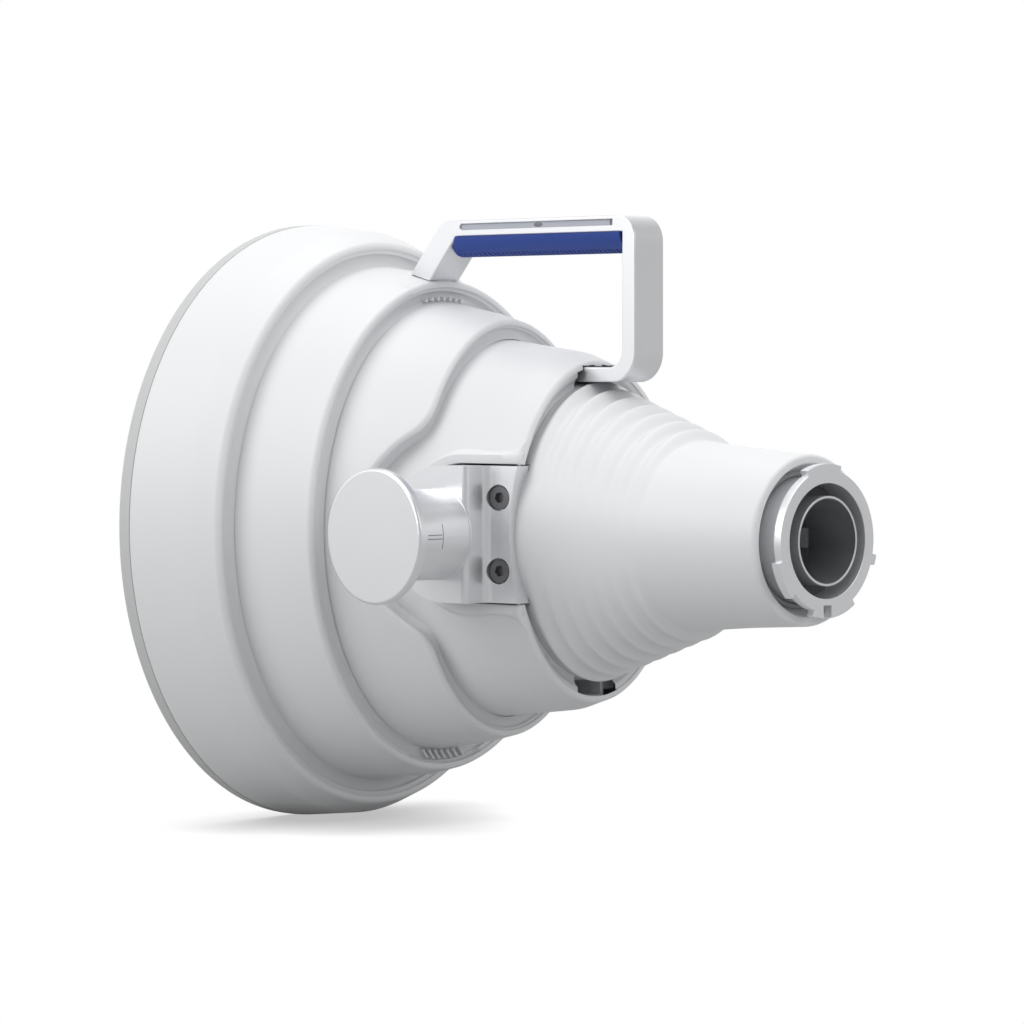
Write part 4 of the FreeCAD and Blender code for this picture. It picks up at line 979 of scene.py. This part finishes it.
@dataclass
class Handle:
    """The handle's bar, bent round, with broken edges and a round-ended channel on each side.

    Attributes:
        meshes: makes the meshes.
        width: the bar's width.
        edge: how wide its edges are broken.
        top: height of the bar's top.
        low: height of its underside.
        rear: s of the rear leg's outer face.
        rear_inner: s of its inner face.
        inner_end: height where the corner inside it ends.
        return_top: height of the return leg's top.
        return_low: height of its underside.
        return_end: s of its end.
        front: s of the corner over the front leg.
        run: how thick the front leg is along the axis.
        drawn: how far down the front leg is drawn before it lands on the shell.
        lean: how far the front leg leans forward.
        rounds: radii of the front corner, the rear one and the two of the return leg.
        channel_s: s of the side channel's rear and front end.
        channel_centre: how far its centre lies below the bar's top.
        channel_half: half its height, and the radius of its ends.
        channel_deep: its depth.
        channel_edge: how wide its edges are broken.
        foot_gap: the gap between foot and shell.
        shade_ring_levels: how far the top and bottom of the black ring that paints the shade under
            the foot stand above the shell.
        shade_ring_share: that ring's length and width as shares of the foot's.
        recess_s: s of the centre of the dark oval that paints the recess's shade.
        recess_half: half its length and half its height.
    """

    meshes: MeshMaker
    width: float = 21.0
    edge: float = 0.7
    top: float = 158.0
    low: float = 149.6
    rear: float = 116.0
    rear_inner: float = 124.8
    inner_end: float = 146.0
    return_top: float = 82.5
    return_low: float = 75.0
    return_end: float = 184.0
    front: float = 253.0
    run: float = 17.5
    drawn: float = 20.0
    lean: float = math.radians(41.0)
    rounds: tuple[float, float, float, float] = (12.0, 13.0, 15.0, 9.0)
    channel_s: tuple[float, float] = (130.6, 240.0)
    channel_centre: float = 3.4
    channel_half: float = 1.5
    channel_deep: float = 2.0
    channel_edge: float = 0.25
    foot_gap: float = 0.55
    shade_ring_levels: tuple[float, float] = (2.0, -1.5)
    shade_ring_share: tuple[float, float] = (0.88, 0.92)
    recess_s: float = 184.0
    recess_half: tuple[float, float] = (3.2, 1.15)

    @staticmethod
    def arc(corner: tuple[float, float], before: tuple[float, float],
            after: tuple[float, float], radius: float, steps: int) -> np.ndarray:
        """The true arc that rounds a corner of a path in the (s, z) plane.

        Args:
            corner: the corner.
            before: a point on the path before it.
            after: a point on the path after it.
            radius: the round's radius.
            steps: the points on the arc.

        Returns:
            The points from the first tangent point to the last.
        """
        here = np.array(corner)
        back = np.array(before) - here
        ahead = np.array(after) - here
        back /= np.linalg.norm(back)
        ahead /= np.linalg.norm(ahead)
        half = math.acos(float(np.clip(back @ ahead, -1.0, 1.0))) / 2
        middle = here + (back + ahead) / np.linalg.norm(back + ahead) * radius / math.sin(half)
        first = here + back * radius / math.tan(half) - middle
        last = here + ahead * radius / math.tan(half) - middle
        sweep = math.pi - 2 * half
        share = np.linspace(0.0, 1.0, steps)[:, None]
        return middle + (np.sin((1 - share) * sweep) * first + np.sin(share * sweep) * last
                         ) / math.sin(sweep)

    def stations(self) -> tuple[np.ndarray, np.ndarray]:
        """Works out the bar's two faces in side view, from the foot to the return leg's end.

        Straight stretches run evenly between two places and corners are arcs. Near a channel's
        end the stations follow its round: its radius times one less a cosine.

        Returns:
            As many outer points as inner ones, as rows (s, z).
        """
        lean = math.tan(self.lean)
        front_round, rear_round, return_round, inner_round = self.rounds
        corner = (self.front, self.top)
        inner_corner = (self.front + (self.top - self.low) * lean - self.run, self.low)
        start = (self.front + self.drawn * lean, self.top - self.drawn)
        inner_start = (start[0] - self.run, start[1])
        top_rear, rear_low = (self.rear, self.top), (self.rear, self.return_low)
        inner_rear = (self.rear_inner, self.low)
        inner_end = (self.rear_inner, self.inner_end)
        inner_low = (self.rear_inner, self.return_top)
        end, inner_return = (self.return_end, self.return_low), (self.return_end, self.return_top)
        straight = np.linspace
        outer, inner = [], []

        def add(near: np.ndarray, far: np.ndarray) -> None:
            """Adds a stretch of both faces."""
            outer.append(near)
            inner.append(far)

        front = self.arc(corner, start, top_rear, front_round, 13)
        add(straight(start, front[0], 5)[:-1], straight(inner_start, inner_corner, 5)[:-1])
        add(front, straight(inner_corner, (inner_corner[0] - 1.2, self.low), 13))
        first, last = self.channel_s
        ends = self.channel_half * (1 - np.cos(np.linspace(0.0, np.pi / 2, 8)))
        along = np.concatenate([last - ends, straight(last - 4.0, first + 4.0, 12),
                                (first + ends)[::-1], [first - 1.0]])
        add(np.stack([along, np.full_like(along, self.top)], axis=1),
            np.stack([along, np.full_like(along, self.low)], axis=1))
        rear = self.arc(top_rear, corner, rear_low, rear_round, 15)
        add(rear, np.concatenate([straight((rear[0][0], self.low), inner_rear, 8)[:-1],
                                  straight(inner_rear, inner_end, 8)]))
        low = self.arc(rear_low, top_rear, end, return_round, 15)
        inner_turn = self.arc(inner_low, inner_rear, inner_return, inner_round, 15)
        add(straight(rear[-1], low[0], 10)[1:-1], straight(inner_end, inner_turn[0], 10)[1:-1])
        add(low, inner_turn)
        add(straight(low[-1], end, 6)[1:], straight(inner_turn[-1], inner_return, 6)[1:])
        return np.concatenate(outer), np.concatenate(inner)

    def ring(self, place: float, thick: float) -> np.ndarray:
        """Works out one cross-section of the bar.

        The channel's half height at its round end is the root of its radius squared less the
        squared distance from the round's centre.

        Args:
            place: the s of the cross-section in the upper bar, or -1 elsewhere.
            thick: the bar's thickness there.

        Returns:
            Rows (distance from the outer face, y).
        """
        first, last = self.channel_s
        centre, radius, edge = self.channel_centre, self.channel_half, self.edge
        past = min(place - first, last - place)
        open_here = past >= -1e-6
        half = math.sqrt(max(radius ** 2 - max(radius - past, 0.0) ** 2, 0.0)) if open_here else 0.0
        depth = self.channel_deep if half > 1e-3 else 0.0
        rim = min(self.channel_edge, half)
        bend = np.linspace(0.0, np.pi / 2, 5)
        support = edge + 0.08
        near = [(0.0, support)]
        near += [(edge * (1 - math.cos(b)), edge * (1 - math.sin(b))) for b in bend]
        near.append((support, 0.0))
        channel = [(centre - half - rim, 0.0), (centre - half, rim * (depth > 0)),
                   (centre - half, depth), (centre + half, depth),
                   (centre + half, rim * (depth > 0)), (centre + half + rim, 0.0)]
        far = [(thick - run, y) for run, y in near[::-1]]
        loop = [*near, *channel, *far]
        left = [(run, y - self.width / 2) for run, y in loop]
        right = [(run, self.width / 2 - y) for run, y in loop[::-1]]
        return np.array([*left, *right])

    def landed(self, ring: np.ndarray, above: float) -> np.ndarray:
        """Moves a ring down along the front leg until it stands above the second shell.

        The shell's top under a point is its half height times the root of one less the square
        of y over its half width. Each round takes up 0.8 of the fall that is left.

        Args:
            ring: rows (x, y, z).
            above: how far above the shell it ends.

        Returns:
            The moved ring.
        """
        s, y, z = -ring[:, 0], ring[:, 1], ring[:, 2]
        for _ in range(20):
            wide, tall = outside_at(SHELLS[1], s)
            fall = z - (tall * np.sqrt(1 - (y / wide) ** 2) + above)
            z = z - fall * 0.8
            s = s + fall * 0.8 * math.tan(self.lean)
        return np.stack([-s, y, z], axis=-1)

    def build(self) -> None:
        """Builds the bar with its foot cut to the shell, painted shade under the foot and in the
        recesses.
        """
        outer, inner = self.stations()
        rows = []
        for near, far in zip(outer, inner):
            thick = float(np.linalg.norm(far - near))
            ring = self.ring(float(near[0]) if abs(near[1] - self.top) < 0.01 else -1.0, thick)
            across = (far - near) / thick
            s = near[0] + across[0] * ring[:, 0]
            z = near[1] + across[1] * ring[:, 0]
            rows.append(np.stack([-s, ring[:, 1], z], axis=-1))
        foot = self.landed(rows[0], self.foot_gap)
        self.meshes.grid("handle_bar", np.array([foot, *rows]), Slot.SATIN, angle=32.0,
                         stands_for=("handle",))
        # painted shade: a black ring just under the foot stands for the shade in the gap between
        # foot and shell
        middle = foot[:, :2].mean(axis=0)
        slim = foot.copy()
        slim[:, :2] = middle + (foot[:, :2] - middle) * np.array(self.shade_ring_share)
        shade_ring = np.stack([self.landed(slim, level) for level in self.shade_ring_levels])
        self.meshes.grid("handle_foot_painted_shade", shade_ring, Slot.BLACK, angle=32.0, flip=True)
        self.recess_shade("left_channel_recess_shade", -1.0)
        self.recess_shade("right_channel_recess_shade", 1.0)

    def recess_shade(self, name: str, side: float) -> None:
        """Builds a flat dark oval in the middle of a side channel, which paints the shade of the
        small recess there.

        Args:
            name: the object's name.
            side: -1 for the near side, 1 for the far one.
        """
        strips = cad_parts["handle_side_strips"]
        face = max(abs(corner[1]) for corner in strips.bound_box) / MM
        turn = np.linspace(0.0, 2 * np.pi, 40, endpoint=False)
        long, high = self.recess_half
        rows = []
        # painted shade: the oval is not sunk; it lies flat on the strip's face in dark steel, in
        # place of the recess's shade
        for share, lift in ((1.0, 0.0), (1.0, 0.06), (0.86, 0.08), (0.02, 0.08)):
            rows.append(np.stack([
                -self.recess_s + long * share * np.cos(turn),
                np.full_like(turn, side * (face + lift)),
                self.top - self.channel_centre + high * share * np.sin(turn)], axis=-1))
        self.meshes.grid(name, np.array(rows), Slot.STEEL, angle=40.0, flip=side > 0)


@dataclass
class Grip:
    """The grip: half a rod with fine ribs on its underside and a round front end.

    Attributes:
        meshes: makes the meshes.
        rear: s of its rear end.
        front: s of its front end.
        top: height of its flat top.
        centre: height of the rod's axis.
        radius: the rod's radius.
        pitch: distance from rib to rib.
        groove: depth of the grooves between them.
        groove_share: share of the pitch that a groove takes.
        end_round: length of the round at its front end.
        lean_run: length over which the front end leans forward below.
        lean: how far it leans, as a share of the depth below the top.
    """

    meshes: MeshMaker
    rear: float = 126.1
    front: float = 244.5
    top: float = 149.6
    centre: float = 150.5
    radius: float = 11.3
    pitch: float = 3.0
    groove: float = 0.8
    groove_share: float = 0.3
    end_round: float = 3.0
    lean_run: float = 24.0
    lean: float = 0.6

    def build(self) -> None:
        """Builds the grip.

        Each row is the lower arc of a circle whose radius loses the groove's depth in every
        groove, on the underside alone, and runs out in a quarter of a circle at the front end.
        """
        s = np.append(np.arange(self.rear, self.front, self.pitch / 8), [self.front] * 2)
        low = math.asin((self.centre - self.top) / self.radius)
        turn = np.linspace(low, np.pi - low, 49)
        share = np.mod((s - self.rear) / self.pitch, 1.0)
        groove = (share < self.groove_share).astype(float)[:, None]
        under = np.clip((np.sin(turn) - 0.8) / 0.08, 0.0, 1.0)[None, :]
        end = np.clip((self.front - s) / self.end_round, 0.0, 1.0)[:, None]
        shrink = np.sqrt(1 - (1 - end) ** 2)
        radius = (self.radius - self.groove * groove * under) * (0.8 + 0.2 * shrink)
        radius[-1] = 0.0
        z = np.minimum(self.centre - radius * np.sin(turn), self.top)
        ahead = np.clip((s - (self.front - self.lean_run)) / self.lean_run, 0.0, 1.0)[:, None]
        ahead[-1] = 0.0
        place = s[:, None] + ahead * (self.top - z) * self.lean
        grid = np.stack([-place, radius * np.cos(turn), z], axis=-1)
        start = grid[:1].copy()
        start[..., 1:] = (0.0, self.top)
        self.meshes.grid("handle_grip_ribbed", np.concatenate([start, grid]), Slot.GRIP,
                         angle=35.0, stands_for=("handle_grip",))


@dataclass
class SpoolDetails:
    """The index mark on each spool and the soft bead round its root.

    Attributes:
        meshes: makes the meshes.
        bead_radius: radius of the ring that the bead follows.
        bead_y: how far out it lies.
        bead: half its thickness.
        mark_radius: radius that the mark lies on.
        mark_strips: near and far end, low and high edge of each of its strips.
    """

    meshes: MeshMaker
    bead_radius: float = 22.45
    bead_y: float = 76.6
    bead: float = 0.5
    mark_radius: float = 22.53
    mark_strips: tuple[tuple[float, float, float, float], ...] = (
        (95.6, 105.2, 0.55, 0.95), (95.6, 105.2, -1.35, -0.95), (94.8, 95.2, -6.0, 6.0))

    def build(self) -> None:
        """Builds the mark and the bead on both sides."""
        for place, side in (("left", -1.0), ("right", 1.0)):
            self.mark(f"{place}_spool_mark", side)
            self.root(f"{place}_spool_root", side)

    def mark(self, name: str, side: float) -> None:
        """Builds an index mark: two short lines along the spool and one across.

        Args:
            name: the object's name.
            side: -1 for the near side, 1 for the far one.
        """
        points, faces = [], []
        for near, far, low, high in self.mark_strips:
            z = np.linspace(low, high, 9)
            s = TRUNNION_S - np.sqrt(self.mark_radius ** 2 - z * z)
            edges = [np.stack([-s, np.full_like(z, side * y), z], axis=-1) for y in (near, far)]
            first = 2 * len(z) * len(points) + 2 * np.arange(len(z) - 1)
            points.append(np.stack(edges, axis=1).reshape(-1, 3))
            faces.append(np.stack([first, first + 1, first + 3, first + 2], axis=1))
        self.meshes.from_arrays(name, np.concatenate(points), np.concatenate(faces), Slot.STEEL,
                                flip=side < 0)

    def root(self, name: str, side: float) -> None:
        """Builds the bead round a spool's root as a torus.

        Args:
            name: the object's name.
            side: -1 for the near side, 1 for the far one.
        """
        turn = np.linspace(0.0, 2 * np.pi, 160, endpoint=False)[:, None]
        bend = np.linspace(0.0, 2 * np.pi, 8, endpoint=False)[None, :]
        out = self.bead_radius + self.bead * np.cos(bend)
        y = side * (self.bead_y + self.bead * np.sin(bend)) * np.ones_like(turn)
        rows = np.stack([-TRUNNION_S - out * np.cos(turn), y, out * np.sin(turn)], axis=-1)
        self.meshes.grid(name, rows, Slot.SATIN, closed_u=True, angle=80.0, flip=side > 0)


@dataclass
class BoreDetails:
    """The bright edge at the sleeve's end and the smooth face of its key tab.

    Attributes:
        meshes: makes the meshes.
        radius: radius that both lie on, just inside the bore.
        edge_s: where the edge starts and ends.
        tab_s: where the tab's face starts and ends.
        tab_half: half the tab's width.
    """

    meshes: MeshMaker
    radius: float = 20.24
    edge_s: tuple[float, float] = (29.2, 29.55)
    tab_s: tuple[float, float] = (29.6, 34.9)
    tab_half: float = 4.8

    def build(self) -> None:
        """Builds both."""
        half = math.asin(self.tab_half / self.radius)
        turn = np.linspace(0.0, 2 * np.pi, 96, endpoint=False)
        self.band("sleeve_end_edge", self.edge_s, turn, Slot.SATIN)
        self.band("key_tab_face", self.tab_s, np.linspace(-half, half, 9), Slot.GREY)

    def band(self, name: str, places: tuple[float, float], turn: np.ndarray, slot: Slot) -> None:
        """Builds a band on the bore.

        Args:
            name: the object's name.
            places: the s of its two edges.
            turn: the turn angles of its columns, all round or only a part.
            slot: the record slot that it takes its finish from.
        """
        rows = [np.stack([np.full_like(turn, -s), self.radius * np.cos(turn),
                          self.radius * np.sin(turn)], axis=-1) for s in places]
        whole = turn[-1] - turn[0] > np.pi
        self.meshes.grid(name, np.array(rows), slot, closed_v=bool(whole))


@dataclass(frozen=True)
class Polish:
    """Modifiers that soften one CAD node.

    Attributes:
        slot: the record slot of its finish.
        bevel: how wide its edges are broken, in millimetres.
        angle: edges sharper than this many degrees stay sharp.
        metallic: its own share of metal, if the slot's isn't used.
    """

    slot: Slot
    bevel: float = 0.0
    angle: float = 32.0
    metallic: float | None = None


POLISHES = {
    "upper_handle_socket": Polish(Slot.WHITE, 0.5),
    "lower_handle_socket": Polish(Slot.WHITE, 0.5),
    "port_flange": Polish(Slot.SATIN, 0.35, metallic=0.62),
    "throat_screws": Polish(Slot.STEEL),
    "waveguide_sleeve": Polish(Slot.SATIN, 0.15, metallic=0.93),
    "port_gasket": Polish(Slot.BLACK),
    "neck_ring_seal": Polish(Slot.GREY),
    "metal_horn": Polish(Slot.CAST),
    "cover_gasket": Polish(Slot.BLACK),
    "left_trunnion": Polish(Slot.SATIN, 0.0, 30.0),
    "right_trunnion": Polish(Slot.SATIN, 0.0, 30.0),
    "left_trunnion_screws": Polish(Slot.STEEL, 0.2),
    "right_trunnion_screws": Polish(Slot.STEEL, 0.2),
    "handle": Polish(Slot.SATIN, 0.0, 32.0),
    "handle_grip": Polish(Slot.GRIP, 0.3),
    "handle_side_strips": Polish(Slot.STRIP, 0.2),
}


@dataclass
class CarriedNodes:
    """Gives the CAD nodes that stay in the picture their finish and softened edges.

    Attributes:
        materials: makes their materials.
        weld: how near points are merged before a bevel, in metres.
        normal_weight: how much large faces lead the normals.
    """

    materials: MaterialMaker
    weld: float = 0.000005
    normal_weight: int = 60

    def build(self) -> None:
        """Dresses every CAD node, so that a replaced one has a finish as well."""
        for name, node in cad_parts.items():
            polish = POLISHES.get(name, Polish(Slot.WHITE))
            node.data.materials.clear()
            material = self.materials.of(polish.slot)
            if polish.metallic is not None:
                own = replace(FINISHES[polish.slot], metallic=polish.metallic)
                material = self.materials.plain(f"{polish.slot.value}_{name}", own)
            node.data.materials.append(material)
            if polish.bevel:
                self.soften(node, polish)

    def soften(self, node: bpy.types.Object, polish: Polish) -> None:
        """Breaks a node's edges by modifiers.

        Args:
            node: the CAD node.
            polish: how wide its edges are broken.
        """
        weld = node.modifiers.new("weld", "WELD")
        weld.merge_threshold = self.weld
        bevel = node.modifiers.new("broken_edges", "BEVEL")
        bevel.width = polish.bevel * MM
        bevel.segments = 2
        bevel.limit_method = "ANGLE"
        bevel.angle_limit = math.radians(polish.angle)
        bevel.harden_normals = False
        even = node.modifiers.new("even_normals", "WEIGHTED_NORMAL")
        even.keep_sharp = True
        even.weight = self.normal_weight


@dataclass(frozen=True)
class Lamp:
    """One square soft box.

    Attributes:
        name: its name.
        place: where it hangs, in metres.
        turn: its turn about the axes, in degrees.
        size: its edge, in metres.
        power: its power, in watts.
        shine: how much it shows in reflections.
    """

    name: str
    place: tuple[float, float, float]
    turn: tuple[float, float, float]
    size: float
    power: float
    shine: float


LAMPS = [
    Lamp("top_box", (-0.2, -0.2, 1.5), (0, 0, 0), 1.8, 11.0, 0.8),
    Lamp("left_box", (-0.9, -1.7, 0.9), (62, 0, -28), 1.2, 11.0, 0.8),
    Lamp("rear_box", (1.6, 0.5, 0.9), (64, 0, 108), 1.0, 4.5, 0.3),
]


@dataclass(frozen=True)
class Ramp:
    """A level that runs smoothly from one value to another along an axis of the world.

    Attributes:
        axis: the axis.
        low: the place where it starts.
        high: the place where it ends.
        first: its level at the start.
        last: its level at the end.
    """

    axis: str
    low: float
    high: float
    first: float
    last: float


@dataclass
class Studio:
    """Camera, floor, lights and world.

    Attributes:
        camera_place: where the camera stands, in metres.
        camera_turn: its turn about the vertical, in degrees.
        lens: its focal length.
        sensor: its sensor's width.
        shift: its shift upwards.
        floor_z: the floor's height, in metres.
        floor_half: half the floor's width.
        floor_grey: the floor's colour as the object's underside sees it.
        painted_shadow_reach: how far the shadow painted on the floor round the object reaches, in
            metres.
        painted_shadow_range: the openness where that painted shadow is darkest and where it ends.
        painted_shadow_level: its darkest level.
        reflected: how bright the floor is in reflections, if the camera sees it at 1.
        given: the two ramps of the world's light on matt surfaces, and its strength.
        mirrored: the same for the world that metals reflect.
    """

    camera_place: tuple[float, float, float] = (1.2374, -1.4496, 0.086)
    camera_turn: float = 45.0
    lens: float = 140.625
    sensor: float = 36.0
    shift: float = -0.1484
    floor_z: float = -0.1585
    floor_half: float = 6.0
    floor_grey: float = 0.45
    painted_shadow_reach: float = 0.05
    painted_shadow_range: tuple[float, float] = (0.1, 0.86)
    painted_shadow_level: float = 0.5
    reflected: float = 0.48
    given: tuple[Ramp, Ramp, float] = (
        Ramp("Z", -0.6, 0.5, 0.42, 1.0), Ramp("X", -0.9, 0.9, 0.72, 1.28), 0.62)
    mirrored: tuple[Ramp, Ramp, float] = (
        Ramp("X", -0.8, 0.85, 1.2, 0.44), Ramp("Z", 0.15, 0.8, 1.0, 0.62), 1.0)

    def build(self) -> None:
        """Builds the studio."""
        self.camera()
        self.floor()
        self.lights()
        self.world()
        bpy.context.scene.view_settings.view_transform = "Standard"

    def camera(self) -> None:
        """Places the camera behind the port and to the object's left, level with the rim."""
        data = bpy.data.cameras.new("camera")
        data.lens = self.lens
        data.sensor_width = self.sensor
        data.shift_y = self.shift
        data.clip_start = 0.05
        made = bpy.data.objects.new("camera", data)
        made.location = self.camera_place
        made.rotation_euler = Euler((math.radians(90), 0, math.radians(self.camera_turn)))
        bpy.context.scene.collection.objects.link(made)
        bpy.context.scene.camera = made

    def floor(self) -> None:
        """Lays a pale floor that looks white to the camera, with the object's shadow painted on it.
        """
        mesh = bpy.data.meshes.new("floor")
        half = self.floor_half
        mesh.from_pydata([(x * half, y * half, self.floor_z)
                          for x, y in ((-1, -1), (1, -1), (1, 1), (-1, 1))], [], [(0, 1, 2, 3)])
        mesh.materials.append(self.floor_material())
        made = bpy.data.objects.new("floor", mesh)
        bpy.context.scene.collection.objects.link(made)

    def floor_material(self) -> bpy.types.Material:
        """Makes the floor's material.

        Returns:
            A matt grey, which glows to camera and glossy rays, with a shadow painted into the glow
            near the object.
        """
        material = bpy.data.materials.new("floor")
        material.use_nodes = True
        tree = material.node_tree
        nodes, links = tree.nodes, tree.links
        shader = nodes["Principled BSDF"]
        shader.inputs["Base Color"].default_value = (*[self.floor_grey] * 3, 1.0)
        shader.inputs["Roughness"].default_value = 0.9
        shader.inputs["Specular IOR Level"].default_value = 0.0
        # painted shadow: an ambient occlusion node darkens the floor's glow where the object stands
        # close by
        painted_shadow = nodes.new("ShaderNodeAmbientOcclusion")
        painted_shadow.samples = 16
        painted_shadow.inputs["Distance"].default_value = self.painted_shadow_reach
        tone = nodes.new("ShaderNodeValToRGB")
        for stop, position, level in zip(tone.color_ramp.elements, self.painted_shadow_range,
                                         (self.painted_shadow_level, 1.0)):
            stop.position = position
            stop.color = (level, level, level, 1.0)
        links.new(painted_shadow.outputs["AO"], tone.inputs["Fac"])
        glow = nodes.new("ShaderNodeEmission")
        links.new(tone.outputs["Color"], glow.inputs["Color"])
        path = nodes.new("ShaderNodeLightPath")
        level = calculate(tree, "MULTIPLY_ADD", path.outputs["Is Camera Ray"],
                          1.0 - self.reflected, self.reflected)
        links.new(level, glow.inputs["Strength"])
        seen = calculate(tree, "MAXIMUM", path.outputs["Is Camera Ray"],
                         path.outputs["Is Glossy Ray"])
        mix = mixed(tree, seen, shader, glow)
        links.new(mix.outputs[0], nodes["Material Output"].inputs["Surface"])
        return material

    @staticmethod
    def lights() -> None:
        """Hangs large soft boxes: one over the object, one at the camera's left, one behind."""
        for lamp in LAMPS:
            data = bpy.data.lights.new(lamp.name, "AREA")
            data.shape = "SQUARE"
            data.size = lamp.size
            data.energy = lamp.power
            data.specular_factor = lamp.shine
            made = bpy.data.objects.new(lamp.name, data)
            made.location = lamp.place
            made.rotation_euler = Euler([math.radians(value) for value in lamp.turn])
            bpy.context.scene.collection.objects.link(made)

    def world(self) -> None:
        """Makes the world white to the camera and two softer grey gradients as light."""
        world = bpy.data.worlds.new("world")
        bpy.context.scene.world = world
        world.use_nodes = True
        tree = world.node_tree
        nodes, links = tree.nodes, tree.links
        nodes.clear()
        output = nodes.new("ShaderNodeOutputWorld")
        seen = nodes.new("ShaderNodeBackground")
        seen.inputs["Color"].default_value = (1.0, 1.0, 1.0, 1.0)
        seen.inputs["Strength"].default_value = 1.0
        place = nodes.new("ShaderNodeTexCoord")
        axes = nodes.new("ShaderNodeSeparateXYZ")
        links.new(place.outputs["Generated"], axes.inputs[0])

        def level(ramp: Ramp) -> bpy.types.NodeSocket:
            """The level of one ramp."""
            spread = nodes.new("ShaderNodeMapRange")
            spread.interpolation_type = "SMOOTHSTEP"
            for name, value in (("From Min", ramp.low), ("From Max", ramp.high),
                                ("To Min", ramp.first), ("To Max", ramp.last)):
                spread.inputs[name].default_value = value
            links.new(axes.outputs[ramp.axis], spread.inputs["Value"])
            return spread.outputs["Result"]

        def background(first: Ramp, second: Ramp, strength: float) -> bpy.types.Node:
            """A grey background with the product of two ramps as its level."""
            light = nodes.new("ShaderNodeBackground")
            light.inputs["Strength"].default_value = strength
            links.new(calculate(tree, "MULTIPLY", level(first), level(second)),
                      light.inputs["Color"])
            return light

        path = nodes.new("ShaderNodeLightPath")
        shiny = calculate(tree, "MAXIMUM", path.outputs["Is Glossy Ray"],
                          path.outputs["Is Transmission Ray"])
        inner = mixed(tree, shiny, background(*self.given), background(*self.mirrored))
        mix = mixed(tree, path.outputs["Is Camera Ray"], inner, seen)
        links.new(mix.outputs[0], output.inputs["Surface"])


def main() -> None:
    """Builds the visual model and its studio, and reports each piece."""
    logging.basicConfig(level=logging.INFO, format="%(name)s: %(message)s")
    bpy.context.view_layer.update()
    materials = MaterialMaker()
    meshes = MeshMaker(materials)
    for part in (CarriedNodes(materials), Housing(meshes), Handle(meshes), Grip(meshes),
                 SpoolDetails(meshes), BoreDetails(meshes), Studio()):
        part.build()
    for piece in meshes.pieces:
        log.info("%s: %d faces", piece.name, len(piece.data.polygons))


if __name__ == "__main__":
    main()
